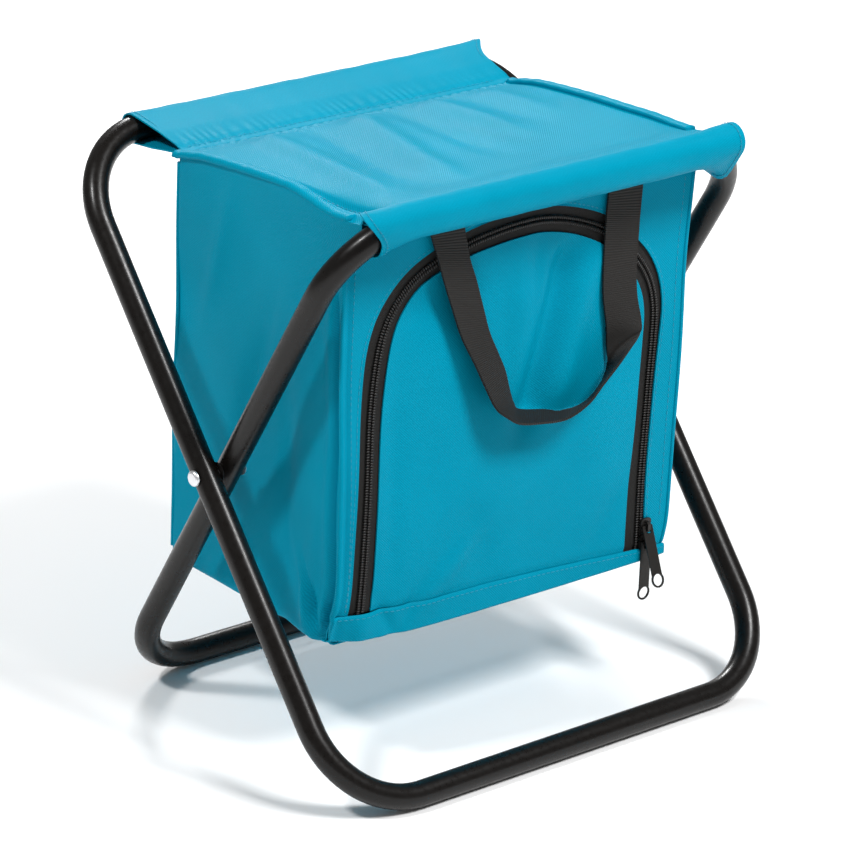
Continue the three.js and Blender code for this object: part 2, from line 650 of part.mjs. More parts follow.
function addFront() {
  addPiece('front_band', plateXZ(outlineShape([
    [-BAG_HALF_WIDTH, BAG_BOTTOM], [BAG_HALF_WIDTH, BAG_BOTTOM],
    [BAG_HALF_WIDTH, BAND_TOP], [-BAG_HALF_WIDTH, BAND_TOP],
  ]), -BAG_FRONT, FABRIC), CLOTH);
  addPiece('front_panel', plateXZ(outlineShape([
    [BAG_HALF_WIDTH, flapFoot], [BAG_HALF_WIDTH, FRONT_TOP], [-BAG_HALF_WIDTH, FRONT_TOP],
    [-BAG_HALF_WIDTH, flapFoot], ...archLine(ZIP_OPENING_HALF, flapFoot).reverse(),
  ]), -BAG_FRONT, FABRIC), CLOTH);

  const inner = ZIP_CHAIN_SPLIT / 2;
  const tapeInner = ZIP_CHAIN_HALF + GAP;
  const strips = [
    ['zip_tape_frame', tapeInner, ZIP_TAPE_HALF, tapeFace, ZIP_TAPE_THICKNESS],
    ['zip_chain_frame', inner, ZIP_CHAIN_HALF, chainFace, ZIP_CHAIN_THICKNESS],
    ['zip_tape_flap', -ZIP_TAPE_HALF, -tapeInner, tapeFace, ZIP_TAPE_THICKNESS],
    ['zip_chain_flap', -ZIP_CHAIN_HALF, -inner, chainFace, ZIP_CHAIN_THICKNESS],
  ];
  for (const [name, inside, outside, face, thickness] of strips) {
    addPiece(name, plateXZ(archStrip(inside, outside, flapFoot), face, thickness), BLACK_NYLON);
  }

  addPiece('flap_panel', plateXZ(
    outlineShape(archLine(-ZIP_OPENING_HALF, flapFoot)), -BAG_FRONT, FABRIC), CLOTH);
  const foamOffset = -ZIP_TAPE_HALF - GAP;
  const foamFoot = flapFoot + FABRIC;
  addPiece('flap_insulation', plateXZ(
    outlineShape(archLine(foamOffset, foamFoot)), tapeFace, FOAM), WHITE_FOAM);
  addPiece('flap_liner', plateXZ(
    outlineShape(archLine(foamOffset, foamFoot)), tapeFace + FOAM + GAP, FOIL), SILVER_FOIL);
}

// Slider body: a rounded plate with two flanges round the chain and a bridge for the pull
function slider(centerZ) {
  const half = SLIDER_WIDTH / 2;
  const tall = SLIDER_HEIGHT / 2;
  const waist = half - BRIDGE_BAR / 2;
  const plateFace = chainFace - GAP - SLIDER_PLATE;
  const outline = new THREE.Shape();
  outline.moveTo(-half, tall - SLIDER_CORNER);
  outline.quadraticCurveTo(-half, tall, -half + SLIDER_CORNER, tall);
  outline.lineTo(half - SLIDER_CORNER, tall);
  outline.quadraticCurveTo(half, tall, half, tall - SLIDER_CORNER);
  outline.quadraticCurveTo(waist, 0, waist, -tall);
  outline.lineTo(-waist, -tall);
  outline.quadraticCurveTo(-waist, 0, -half, tall - SLIDER_CORNER);
  const plate = new THREE.ExtrudeGeometry(
    outline, { depth: SLIDER_PLATE, bevelEnabled: false, curveSegments: SLIDER_CORNER_STEPS });
  plate.rotateX(Math.PI / 2);
  plate.translate(ZIP_HALF_WIDTH, plateFace + SLIDER_PLATE, centerZ);

  const flangeIn = ZIP_CHAIN_HALF + GAP;
  const lip = plateFace + SLIDER_PLATE / 2;
  const flanges = [[flangeIn, waist], [-waist, -flangeIn]].map(([x0, x1]) => box(
    ZIP_HALF_WIDTH + x0, ZIP_HALF_WIDTH + x1, lip, tapeFace - GAP, centerZ - tall, centerZ));

  const arch = outlineShape([
    [lip, -BRIDGE_SPAN / 2], [lip, BRIDGE_SPAN / 2],
    [plateFace - BRIDGE_RISE + BRIDGE_BAR, BRIDGE_SPAN / 2],
    [plateFace - BRIDGE_RISE, BRIDGE_SPAN / 2 - BRIDGE_BAR],
    [plateFace - BRIDGE_RISE, BRIDGE_BAR - BRIDGE_SPAN / 2],
    [plateFace - BRIDGE_RISE + BRIDGE_BAR, -BRIDGE_SPAN / 2],
  ]);
  const bridge = plateYZ(arch, ZIP_HALF_WIDTH - BRIDGE_WIDTH / 2, BRIDGE_WIDTH);
  bridge.translate(0, 0, centerZ);
  const eye = box(
    ZIP_HALF_WIDTH - BRIDGE_WIDTH, ZIP_HALF_WIDTH + BRIDGE_WIDTH,
    plateFace - BRIDGE_RISE + BRIDGE_BAR, plateFace,
    centerZ + BRIDGE_BAR - BRIDGE_SPAN / 2, centerZ - BRIDGE_BAR + BRIDGE_SPAN / 2);
  return cut(join(plate, ...flanges, bridge), eye);
}

// Pull: a flat tongue with a window over the bridge, a square pin across it and a round eye at its foot
function pull(tilt) {
  const half = PULL_WIDTH / 2;
  const pin = PULL_THICKNESS / 2;
  const eye = PULL_EYE_DIAMETER / 2;
  const neck = Math.sqrt(eye * eye - half * half);
  const outline = new THREE.Shape();
  outline.moveTo(-half, pin);
  outline.lineTo(half, pin);
  outline.lineTo(half, -PULL_LENGTH + neck);
  outline.absarc(0, -PULL_LENGTH, eye, Math.atan2(neck, half), Math.atan2(neck, -half), true);
  const window = new THREE.Path();
  const wide = PULL_WINDOW_WIDTH / 2;
  window.moveTo(-wide, -pin);
  window.lineTo(-wide, -PULL_WINDOW_LENGTH);
  window.lineTo(wide, -PULL_WINDOW_LENGTH);
  window.lineTo(wide, -pin);
  const hole = new THREE.Path();
  hole.absarc(0, -PULL_LENGTH, PULL_EYE_HOLE / 2, 0, 2 * Math.PI, false);
  outline.holes.push(window, hole);
  const tongue = new THREE.ExtrudeGeometry(
    outline, { depth: PULL_THICKNESS, bevelEnabled: false, curveSegments: PULL_EYE_STEPS });
  tongue.rotateX(Math.PI / 2);
  tongue.translate(0, pin, 0);
  tongue.rotateX(tilt);
  return tongue;
}

function addSliders() {
  const lowerZ = flapFoot + SLIDER_HEIGHT / 2;
  const plateFace = chainFace - GAP - SLIDER_PLATE;
  const pinY = plateFace - (BRIDGE_RISE - BRIDGE_BAR) / 2;
  const pieces = [['lower', lowerZ, 0], ['upper', lowerZ + SLIDER_SPACING, UPPER_PULL_TILT]];
  for (const [word, z, tilt] of pieces) {
    addPiece(`zip_slider_${word}`, slider(z), BLACK_METAL);
    const place = new THREE.Group();
    place.position.set(ZIP_HALF_WIDTH, pinY, z);
    addPiece(`zip_pull_${word}`, pull(-tilt), BLACK_METAL, place);
  }
}

// Webbing handle: flat at its two sewn ends and turned on edge at the bottom of the loop
function addHandle() {
  const face = -BAG_FRONT - GAP - WEBBING_THICKNESS / 2;
  const left = HANDLE_SHIFT - HANDLE_SPREAD / 2;
  const top = FRONT_TOP - HANDLE_HEADROOM;
  const stops = HANDLE_ROUTE_SHARES.map(([across, drop, proud]) => new THREE.Vector3(
    left + HANDLE_SPREAD * across, face - HANDLE_PROUD * proud, top - HANDLE_DROP * drop));
  const route = new THREE.CatmullRomCurve3(stops);
  const rows = HANDLE_ROUTE_SHARES.length - 1;
  const rings = steps(HANDLE_STEPS).map((share) => {
    const point = route.getPoint(share);
    const along = route.getTangent(share);
    if (share === 0) along.set(0, 0, -1);
    if (share === 1) along.set(0, 0, 1);
    const row = Math.min(rows - 1, Math.floor(share * rows));
    const twist = Math.PI * between(
      HANDLE_ROUTE_SHARES[row][3], HANDLE_ROUTE_SHARES[row + 1][3], share * rows - row);
    const depth = new THREE.Vector3(0, 1, 0);
    depth.addScaledVector(along, -depth.dot(along)).normalize();
    const flat = along.clone().cross(depth);
    const wide = flat.clone().multiplyScalar(Math.cos(twist)).addScaledVector(depth, Math.sin(twist));
    const thick = along.clone().cross(wide);
    return [[-1, -1], [1, -1], [1, 1], [-1, 1]].map(([w, t]) => point.clone()
      .addScaledVector(wide, (w * WEBBING_WIDTH) / 2)
      .addScaledVector(thick, (t * WEBBING_THICKNESS) / 2));
  });
  addPiece('front_handle', loftSolid(rings), BLACK_WEBBING);
}

addPiece('outer_frame_tube', loopTube(OUTER_LOOP), STEEL);
addPiece('inner_frame_tube', loopTube(INNER_LOOP), STEEL);
addPiece('outer_joint_spigot', jointSpigot(OUTER_LOOP), BRIGHT_STEEL);
addPiece('inner_joint_spigot', jointSpigot(INNER_LOOP), BRIGHT_STEEL);
addPivot(-1, 'left');
addPivot(1, 'right');
addPiece('rear_sleeve', sleeve(
  OUTER_LOOP, REAR_WRAP_LEFT, REAR_WRAP_RIGHT, REAR_TAB_TIP_Y, REAR_TAB_TIP_Z), CLOTH);
addPiece('front_sleeve', sleeve(
  INNER_LOOP, FRONT_WRAP_LEFT, FRONT_WRAP_RIGHT, FRONT_TAB_TIP_Y, FRONT_TAB_TIP_Z), CLOTH);
addSeat();
addBagWalls();
addFront();
addSliders();
addHandle();

export default stool;
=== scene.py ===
"""Folding stool with a cool bag under its seat: cloth, steel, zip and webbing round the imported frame."""
import json
import math
from contextlib import contextmanager

import bpy
import numpy as np
from bpy.props import FloatProperty, FloatVectorProperty, IntProperty, PointerProperty
from bpy.types import Operator, Panel, PropertyGroup
from mathutils import Matrix, Vector


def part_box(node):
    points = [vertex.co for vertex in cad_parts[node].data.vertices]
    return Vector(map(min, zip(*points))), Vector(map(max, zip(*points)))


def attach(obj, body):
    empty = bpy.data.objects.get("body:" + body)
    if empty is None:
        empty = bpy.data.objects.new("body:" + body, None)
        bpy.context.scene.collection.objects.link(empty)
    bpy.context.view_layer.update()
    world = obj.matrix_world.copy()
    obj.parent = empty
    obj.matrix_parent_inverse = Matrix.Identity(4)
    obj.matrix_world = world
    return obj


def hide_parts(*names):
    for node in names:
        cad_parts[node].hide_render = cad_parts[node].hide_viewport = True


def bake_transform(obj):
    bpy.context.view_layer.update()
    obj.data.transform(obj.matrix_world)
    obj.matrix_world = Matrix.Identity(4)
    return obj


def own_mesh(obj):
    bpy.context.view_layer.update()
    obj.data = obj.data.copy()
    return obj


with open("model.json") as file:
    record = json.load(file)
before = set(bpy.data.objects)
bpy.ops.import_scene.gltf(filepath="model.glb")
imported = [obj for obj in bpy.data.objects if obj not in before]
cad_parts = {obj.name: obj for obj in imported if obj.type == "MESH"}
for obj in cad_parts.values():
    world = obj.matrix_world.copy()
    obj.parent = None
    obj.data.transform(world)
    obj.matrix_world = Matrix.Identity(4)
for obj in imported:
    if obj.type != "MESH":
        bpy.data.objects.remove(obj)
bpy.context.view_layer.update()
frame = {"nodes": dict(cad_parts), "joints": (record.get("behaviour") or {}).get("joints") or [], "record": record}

bl_info = {
    "name": "Cooler stool",
    "version": (1, 0, 0),
    "blender": (4, 5, 0),
    "location": "3D View > Sidebar > Stool",
    "description": "Builds a folding stool with a cool bag under its seat",
    "category": "Object",
}

# Places read from the frame
MM = 0.001
JOINTS = {joint["name"]: joint for joint in frame["joints"]}
FEET = {mount["name"]: Vector(mount["pos_m"]) for mount in frame["record"]["mounts"]}
PIVOT = Vector(JOINTS["fold"]["pos_m"])
REAR_BAR = Vector(JOINTS["rear_sleeve_turn"]["pos_m"])
FRONT_BAR = Vector(JOINTS["front_sleeve_turn"]["pos_m"])
OUTER_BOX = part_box("outer_frame_tube")
INNER_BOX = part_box("inner_frame_tube")
BAG_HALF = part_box("right_side_panel")[1].x / MM
BAG_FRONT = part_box("front_panel")[0].y / MM
BAG_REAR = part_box("rear_panel")[1].y / MM
BAG_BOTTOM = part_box("bottom_panel")[0].z / MM
FRONT_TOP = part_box("front_panel")[1].z / MM
REAR_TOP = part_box("rear_panel")[1].z / MM
TUBE = 9.0  # radius of the tube in the frame, in mm
SEAT_HALF = BAG_HALF + 2.2
SIDES = ((-1, "left"), (1, "right"))
INSIDE = (0, 0, 0.24)  # a point inside the bag
BEHIND = (0, 1, 0.24)  # a point behind the front and the flap
UP = (0, 0, 1)
AHEAD = (0, -1, 0)
TOUCHING = 0.00001  # points closer than this are one
HEM_LINE = SEAT_HALF - 9.6  # X of the stitches along the seat's sides
SEAT_REAR, SEAT_FRONT = 97.4, -117

# The camera that the photograph was taken with, in degrees, metres and millimetres of lens
VIEW_AZIMUTH = -41.074
VIEW_ELEVATION = 21.335
VIEW_ROLL = 2.225
VIEW_DISTANCE = 3.06016
VIEW_LENS = 191.89
VIEW_TARGET = Vector((-0.00645, 0.0, 0.1916))
SKY = 0.25
# Soft lamps: name, place and size in metres, and watts
LAMPS = (("key", (-1.9, 0.3, 2.6), 0.36, 47), ("front", (0.5, -1.7, 2.5), 0.8, 82), ("rim", (1.1, 1.85, 1.5), 0.5, 33))

# Lines seen in the photograph, all in millimetres
SEAT_LINE = [(97.4, 382.4), (78, 386.6), (60.3, 389.6), (13.2, 393.2), (-39.9, 395.4), (-84.9, 399.0),
             (-106, 403.5), (-117, 405.0)]
LEFT_EDGE = [(86, -149.0), (112, -148.6), (147, -147.8), (267, -150.5), (345, -151), (372, -151)]
RIGHT_EDGE = [(86, 144.2), (147, 146), (201, 147.2), (295, 147.4), (345, 150), (372, 151.5)]
BAND_SEAM = [(-152, 112.5), (-80, 108.8), (11, 105.2), (80, 100.5), (150, 95.4)]
BAND_FOOT = [(-152, 92.6), (-120, 89.4), (-60, 87.2), (20, 86.4), (150, 86.2)]
ZIP_ARCH = [(119.6, 96), (118.6, 152), (121.2, 206), (122.6, 250), (121.4, 278), (113.5, 300), (97.5, 319),
            (67, 342), (18, 356.6), (-33, 354.8), (-74, 342.8), (-101, 326.5), (-117.5, 303), (-124, 262),
            (-126.6, 190), (-128.4, 111)]
# The handle's two edges, from its left end down, along the bottom fold and up to its right end
STRAP_OUTER = [(-87, -91, 373), (-79.2, -91.2, 352.4), (-72.4, -91, 334.1), (-65.2, -92, 314.1),
               (-58.4, -95, 293.2), (-49.5, -99, 273.9), (-42.5, -102.3, 257.6), (-36, -106.5, 242.5),
               (-28.7, -110.5, 235.4), (-19, -112.6, 229.6), (0, -112, 225.6), (23, -111.6, 223.4),
               (41.8, -112, 230.2), (54.6, -111.4, 240.6), (68, -111, 251.6), (83, -107, 260.6),
               (99, -96, 260.4), (106.3, -91.4, 263), (105.2, -91.0, 272.4), (100.8, -90.6, 290),
               (99, -90.6, 310), (99.2, -90.6, 329.2), (99.6, -90.6, 347.2), (101, -90.6, 373)]
STRAP_INNER = [(-57, -89.8, 373), (-49.9, -89.4, 346), (-43, -89.4, 328.1), (-36, -89.4, 307.7),
               (-29.7, -89.4, 289.4), (-21.5, -89.6, 273), (-14.8, -89.9, 259.1), (-9.8, -90.2, 242.8),
               (-6.4, -90.2, 234.6), (-1, -90, 228.6), (19.5, -89.8, 223.7), (43.1, -89.6, 219.1),
               (58.5, -89.5, 220.4), (69.5, -89.4, 227), (76.6, -89.4, 236), (78.4, -89.4, 244),
               (77.6, -89.4, 251), (76.6, -89.4, 259), (75.3, -89.4, 272.3), (71.4, -89.4, 292),
               (69.9, -89.4, 311), (69.8, -89.4, 334.4), (70.2, -89.4, 352.5), (71.6, -89.4, 373)]


# Sizes and colours a user may change
def srgb(text):
    """A colour written as RRGGBB, as the linear numbers that the shaders take."""
    parts = [int(text[i:i + 2], 16) / 255 for i in (0, 2, 4)]
    return tuple(p / 12.92 if p <= 0.04045 else ((p + 0.055) / 1.055) ** 2.4 for p in parts) + (1.0,)


def length(name, text, millimetres):
    return FloatProperty(name=name, description=text, default=millimetres * MM, unit="LENGTH", subtype="DISTANCE",
                         precision=5)


def shade(name, text, value):
    return FloatVectorProperty(name=name, description=text, default=srgb(value), size=4, min=0, max=1,
                               subtype="COLOR")


class StoolSizes(PropertyGroup):
    tube_radius: length("Tube radius", "Half the thickness of the bent steel tube", 8.83)
    tube_wall: length("Tube wall", "Thickness of the steel", 1.0)
    bend_radius: length("Bend radius", "Middle line radius of the four bends of a loop", 62.5)
    cloth: length("Cloth", "Thickness of the outer cloth", 1.1)
    sleeve_radius: length("Sleeve radius", "Outside radius of the cloth round a bar", 10.4)
    foam: length("Foam", "Thickness of the insulation in the walls", 4.0)
    film: length("Film", "Thickness of the silver film", 0.4)
    webbing: length("Webbing", "Thickness of the handle's webbing", 1.5)
    stitch_pitch: length("Stitch pitch", "Distance from one stitch to the next", 4.2)
    tooth_pitch: length("Coil pitch", "Distance from one turn of the zip's coil to the next", 1.9)
    tube_sides: IntProperty(name="Tube sides", description="Sides of the tube's section", default=48, min=12)


class StoolColours(PropertyGroup):
    cloth: shade("Cloth", "Dyed polyester of the seat and the bag", "008BA8")
    steel: shade("Enamel", "Stoved enamel on the tube", "0D0A08")
    webbing: shade("Webbing", "Handle webbing", "15120F")
    tape: shade("Zip tape", "Woven tape of the zip", "110F0D")
    coil: shade("Zip coil", "Nylon coil of the zip", "191614")
    metal: shade("Zip metal", "Sliders and pulls", "2B2927")
    bright: shade("Bright steel", "Rivets and washers", "C4C7CB")
    film: shade("Silver film", "Film on the inside of the bag", "D3D7DB")
    foam: shade("Foam", "Insulation behind the film", "E9ECEB")
    floor: shade("Floor", "Studio floor", "FAFAFA")


# Mesh helpers
def deselect():
    if bpy.context.mode != "OBJECT":
        bpy.ops.object.mode_set(mode="OBJECT")
    bpy.ops.object.select_all(action="DESELECT")


def name_piece(name):
    piece = bpy.context.active_object
    piece.name = name
    piece.data.name = name
    return piece


def make_active(piece):
    deselect()
    piece.select_set(True)
    bpy.context.view_layer.objects.active = piece


def points_of(mesh):
    flat = np.empty(len(mesh.vertices) * 3)
    mesh.vertices.foreach_get("co", flat)
    return flat.reshape(-1, 3)


def move_points(mesh, points):
    mesh.vertices.foreach_set("co", np.asarray(points, float).ravel())
    mesh.update()


def apply_modifier(piece, kind, **settings):
    make_active(piece)
    modifier = piece.modifiers.new(kind.title(), kind)
    for key, value in settings.items():
        setattr(modifier, key, value)
    bpy.ops.object.modifier_apply(modifier=modifier.name)


def smooth(piece, degrees=40):
    make_active(piece)
    bpy.ops.object.shade_smooth_by_angle(angle=math.radians(degrees))


def finish_piece(piece, material, body, nodes=()):
    """Gives a piece its material and its place in the frame."""
    piece.data.materials.clear()
    piece.data.materials.append(material)
    if body:
        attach(piece, body)
    if nodes:
        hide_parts(*nodes)
    return piece


@contextmanager
def editing(piece, select="SELECT"):
    """Edit mode on one piece, with its whole mesh selected at first, or none of it."""
    make_active(piece)
    bpy.ops.object.mode_set(mode="EDIT")
    bpy.ops.mesh.select_all(action=select)
    yield
    bpy.ops.object.mode_set(mode="OBJECT")


def turn_outward(piece, behind):
    """Turns an open sheet so that its faces look away from a point behind it."""
    away = sum(face.area * face.normal.dot(face.center - Vector(behind)) for face in piece.data.polygons)
    if away < 0:
        with editing(piece):
            bpy.ops.mesh.flip_normals()


def cloth_grid(name, columns, rows, place, behind, thickness, closed=False, offset=-1.0, upright=False):
    """A piece of cloth: place(u, v) lays a grid, and the UV map holds metres along the weave, which runs
    straight up the bag on an upright piece."""
    deselect()
    bpy.ops.mesh.primitive_grid_add(x_subdivisions=columns, y_subdivisions=rows, size=1, calc_uvs=True)
    piece = name_piece(name)
    mesh = piece.data
    flat = points_of(mesh)
    u = np.round(flat[:, 0] + 0.5, 6)
    v = np.round(flat[:, 1] + 0.5, 6)
    points = np.column_stack(place(u, v)) * MM
    move_points(mesh, points)
    across = len(np.unique(u))
    grid = points[np.lexsort((u, v))].reshape(-1, across, 3)
    width = np.linalg.norm(np.diff(grid, axis=1), axis=2).sum(axis=1).mean()
    tall = np.linalg.norm(np.diff(grid, axis=0), axis=2).sum(axis=0).mean()
    layer = mesh.uv_layers.active.data
    uv = np.empty(len(layer) * 2)
    layer.foreach_get("uv", uv)
    uv = uv.reshape(-1, 2) * (width, tall)
    if upright:
        corner = np.empty(len(layer), int)
        mesh.loops.foreach_get("vertex_index", corner)
        uv = points[corner][:, [0, 2]]
    layer.foreach_set("uv", uv.ravel())
    if closed:
        with editing(piece):
            bpy.ops.mesh.remove_doubles(threshold=TOUCHING)
    turn_outward(piece, behind)
    piece["cut_width"] = float(width)
    piece["cut_length"] = float(sum(face.area for face in mesh.polygons) / width)
    if thickness:
        apply_modifier(piece, "SOLIDIFY", thickness=thickness, offset=offset, use_even_offset=False, use_rim=True)
    smooth(piece, 50)
    return piece


def through(knots, at):
    """Points of a smooth line through knots, where at counts from knot to knot."""
    knots = np.asarray(knots, float)
    padded = np.vstack([2 * knots[0] - knots[1], knots, 2 * knots[-1] - knots[-2]])
    i = np.minimum(at.astype(int), len(knots) - 2)
    t = (at - i)[:, None]
    p0, p1, p2, p3 = (padded[i + k] for k in range(4))
    return 0.5 * (2 * p1 + (p2 - p0) * t + (2 * p0 - 5 * p1 + 4 * p2 - p3) * t ** 2
                  + (3 * p1 - p0 - 3 * p2 + p3) * t ** 3)


def way_along(line):
    """Distance from the start of a line to each of its points."""
    return np.concatenate([[0], np.cumsum(np.linalg.norm(np.diff(line, axis=0), axis=1))])


def sample(line, along, wanted):
    """Points of a line at the wanted values of along."""
    return np.column_stack([np.interp(wanted, along, line[:, k]) for k in range(line.shape[1])])


def spline(knots, count):
    """A smooth line through knots, with count points evenly spaced along it."""
    steps = 24
    fine = through(knots, np.arange((len(knots) - 1) * steps + 1) / steps)
    along = way_along(fine)
    return sample(fine, along, np.linspace(0, along[-1], count))


def curve_at(knots):
    """A function of one value through (value, height) pairs, smooth between them."""
    line = spline(sorted(knots), 400)
    return lambda value: np.interp(value, line[:, 0], line[:, 1])


def bump(x, middle, spread):
    """A soft hill, 1 at its middle."""
    return np.exp(-((x - middle) / spread) ** 2)


def ease(x, low, high):
    """Runs softly from 0 at low to 1 at high."""
    t = np.clip((x - low) / (high - low), 0, 1)
    return t * t * (3 - 2 * t)


def copies(name, source, places):
    """One mesh made of copies of a small one, each turned and placed by its own matrix."""
    vertices = points_of(source.data)
    faces = [tuple(face.vertices) for face in source.data.polygons]
    points, corners = [], []
    for i, place in enumerate(places):
        m = np.array(place)
        points.append(vertices @ m[:3, :3].T + m[:3, 3])
        corners += [tuple(c + i * len(vertices) for c in face) for face in faces]
    mesh = bpy.data.meshes.new(name)
    mesh.from_pydata(np.vstack(points).tolist(), [], corners)
    piece = bpy.data.objects.new(name, mesh)
    bpy.context.scene.collection.objects.link(piece)
    bpy.data.objects.remove(source)
    smooth(piece, 60)
    return piece


def frames_along(line, normal, pitch, inset=0.0):
    """Places evenly spaced along a line: X along it, Z along its normal."""
    line = np.asarray(line, float)
    along = way_along(line)
    count = max(2, int((along[-1] - 2 * inset) / pitch))
    step = pitch * 0.3
    at = lambda s: sample(line, along, s)[0]
    for s in np.linspace(inset, along[-1] - inset, count):
        tangent = Vector(at(min(s + step, along[-1])) - at(max(s - step, 0))).normalized()
        middle = Vector(at(s))
        out = Vector(normal(middle)) if callable(normal) else Vector(normal)
        side = out.cross(tangent).normalized()
        out = tangent.cross(side)
        yield Matrix(((tangent.x, side.x, out.x, middle.x), (tangent.y, side.y, out.y, middle.y),
                      (tangent.z, side.z, out.z, middle.z), (0, 0, 0, 1)))


def bead(*size_mm):
    """A small rounded bar lying along X, the start of stitches and zip coils."""
    deselect()
    bpy.ops.mesh.primitive_uv_sphere_add(segments=8, ring_count=5, radius=0.5)
    piece = name_piece("bead")
    piece.rotation_euler = (0, math.pi / 2, 0)
    bpy.ops.object.transform_apply(rotation=True)
    piece.scale = [side * MM for side in size_mm]
    bpy.ops.object.transform_apply(scale=True)
    return piece


def stitches(name, line, normal, body, pitch=None):
    """A row of stitches along a line, one bead of thread to a stitch."""
    pitch = pitch or bpy.context.scene.stool_sizes.stitch_pitch
    piece = copies(name, bead(3.1, 0.7, 0.5), frames_along(line, normal, pitch, inset=0.002))
    return finish_piece(piece, thread_material(), body)


def piping(name, middle, shape, body):
    """A covered cord down an edge: shape(share, turn) gives its surface in mm, round a middle."""
    cord = cloth_grid(name, 12, 90, lambda u, v: shape(v, 2 * math.pi * u), middle, 0, closed=True)
    close_ends(cord)
    return finish_piece(cord, cloth_material(), body)


def dress(name, material):
    """Gives a node of the frame its material."""
    node = frame["nodes"][name]
    node.data.materials.clear()
    node.data.materials.append(material)
    return node


# Materials
def add_node(tree, kind, inputs=None, **settings):
    """Adds a node, sets its settings, and sets or links its inputs."""
    node = tree.nodes.new(kind)
    for key, value in settings.items():
        setattr(node, key, value)
    fill(tree, node, inputs or {})
    return node


def fill(tree, node, inputs):
    """Sets the inputs of a node, or links them where the value is another node's output."""
    for key, value in inputs.items():
        if isinstance(value, bpy.types.NodeSocket):
            tree.links.new(value, node.inputs[key])
        else:
            node.inputs[key].default_value = value


def shared(name):
    """A material of this name, built at its first use and then shared by all its pieces."""
    def wrap(build):
        def material():
            found = bpy.data.materials.get(name)
            if not found:
                found = bpy.data.materials.new(name)
                found.use_nodes = True
                tree = found.node_tree
                fill(tree, tree.nodes["Principled BSDF"], build(tree, bpy.context.scene.stool_colours))
            return found
        return material
    return wrap


def coordinates(tree, weave=False):
    """Metres along the weave of a cloth, or else the piece's own space."""
    if weave:
        return add_node(tree, "ShaderNodeUVMap").outputs["UV"]
    return add_node(tree, "ShaderNodeTexCoord").outputs["Object"]


def texture(tree, kind, place, scale, inputs=None, **settings):
    node = add_node(tree, f"ShaderNodeTex{kind}", {"Vector": place, "Scale": scale, **(inputs or {})}, **settings)
    return node.outputs["Distance" if kind == "Voronoi" else "Fac"]


def between(tree, value, low, high, span=(0.3, 0.7)):
    """Spreads a texture between two values. Noise keeps to the middle of its range, so span is narrow."""
    return add_node(tree, "ShaderNodeMapRange", {"Value": value, "From Min": span[0], "From Max": span[1],
                                                 "To Min": low, "To Max": high}).outputs["Result"]


def product(tree, a, b):
    return add_node(tree, "ShaderNodeMath", {0: a, 1: b}, operation="MULTIPLY").outputs["Value"]


def tinted(tree, colour, share):
    """A colour that a texture darkens and lightens."""
    return add_node(tree, "ShaderNodeVectorMath", {0: tuple(colour[:3]), "Scale": share},
                    operation="SCALE").outputs["Vector"]


def raised(tree, height, strength, distance, under=None):
    """Lifts the surface by a texture, on top of the relief under it."""
    inputs = {"Height": height, "Strength": strength, "Distance": distance}
    if under:
        inputs["Normal"] = under
    return add_node(tree, "ShaderNodeBump", inputs).outputs["Normal"]


@shared("polyester_oxford")
def cloth_material(tree, colours):
    """Coated polyester oxford: dyed yarn in a fine diagonal weave, drawn at 1.4 mm so that it still shows at this
    distance. The weave is raised, and its lines are also painted lighter and darker in the colour, a painted highlight
    and shade of that relief; together they give a dry, slightly sparkling surface. Wide soft patches give the wear of
    handling, and a little sheen lights the yarn at the edges."""
    place = coordinates(tree, weave=True)
    twill = texture(tree, "Wave", place, 350.0, {"Distortion": 0.3, "Detail": 1.0, "Detail Scale": 300.0},
                    bands_direction="DIAGONAL")
    warp = texture(tree, "Wave", place, 350.0, {"Distortion": 0.6, "Detail": 1.0, "Detail Scale": 2.0},
                   bands_direction="X")
    yarn = texture(tree, "Noise", place, 900.0, {"Detail": 2.0})
    patch = texture(tree, "Noise", place, 14.0, {"Detail": 3.0})
    # the twill's lines are painted lighter and darker, a painted highlight and shade of the weave's relief, times
    # random wear and yarn tone
    painted_shade_and_tone = product(tree, between(tree, twill, 0.85, 1.09, (0, 1)), between(tree, patch, 0.95, 1.05))
    painted_shade_and_tone = product(tree, painted_shade_and_tone, between(tree, yarn, 0.93, 1.07))
    weave = product(tree, twill, warp)
    return {"Base Color": tinted(tree, colours.cloth, painted_shade_and_tone),
            "Normal": raised(tree, weave, 0.2, 0.0001, raised(tree, twill, 0.5, 0.00024)),
            "Roughness": 0.43, "Sheen Weight": 0.03, "Sheen Roughness": 0.5, "Sheen Tint": colours.cloth,
            "Specular IOR Level": 0.025}


@shared("polyester_thread")
def thread_material(tree, colours):
    """Sewing thread: the cloth's dye on a twisted, slightly glossier strand, so seams catch the light."""
    twist = texture(tree, "Wave", coordinates(tree), 444.0, {"Distortion": 0.5}, bands_direction="DIAGONAL")
    return {"Base Color": tinted(tree, colours.cloth, between(tree, twist, 0.85, 1.1, (0, 1))), "Roughness": 0.55}


def hard(tree, colour, roughness, metallic, grain, depth):
    """A hard surface with its own fine texture: noise in the piece's space moves the colour and the
    gloss a little and lifts the surface by depth, which stops it looking like plastic film."""
    place = coordinates(tree)
    fine = texture(tree, "Noise", place, grain, {"Detail": 3.0})
    broad = texture(tree, "Noise", place, 9.0, {"Detail": 2.0})
    return {"Base Color": tinted(tree, colour, between(tree, broad, 0.88, 1.12)),
            "Roughness": between(tree, fine, roughness * 0.85, roughness * 1.2),
            "Normal": raised(tree, fine, 0.3, depth), "Metallic": metallic, "Coat Roughness": 0.12}


@shared("stoved_enamel")
def steel_material(tree, colours):
    """Stoved enamel on steel tube: nearly black with a warm cast, a faint orange peel and a clear gloss."""
    return hard(tree, colours.steel, 0.3, 0.0, 260.0, 0.00012) | {"Coat Weight": 0.05, "Specular IOR Level": 0.26}


@shared("bright_steel")
def bright_material(tree, colours):
    """Zinc-bright steel of rivets and washers, lightly scratched."""
    return hard(tree, colours.bright, 0.28, 1.0, 500.0, 0.00005)


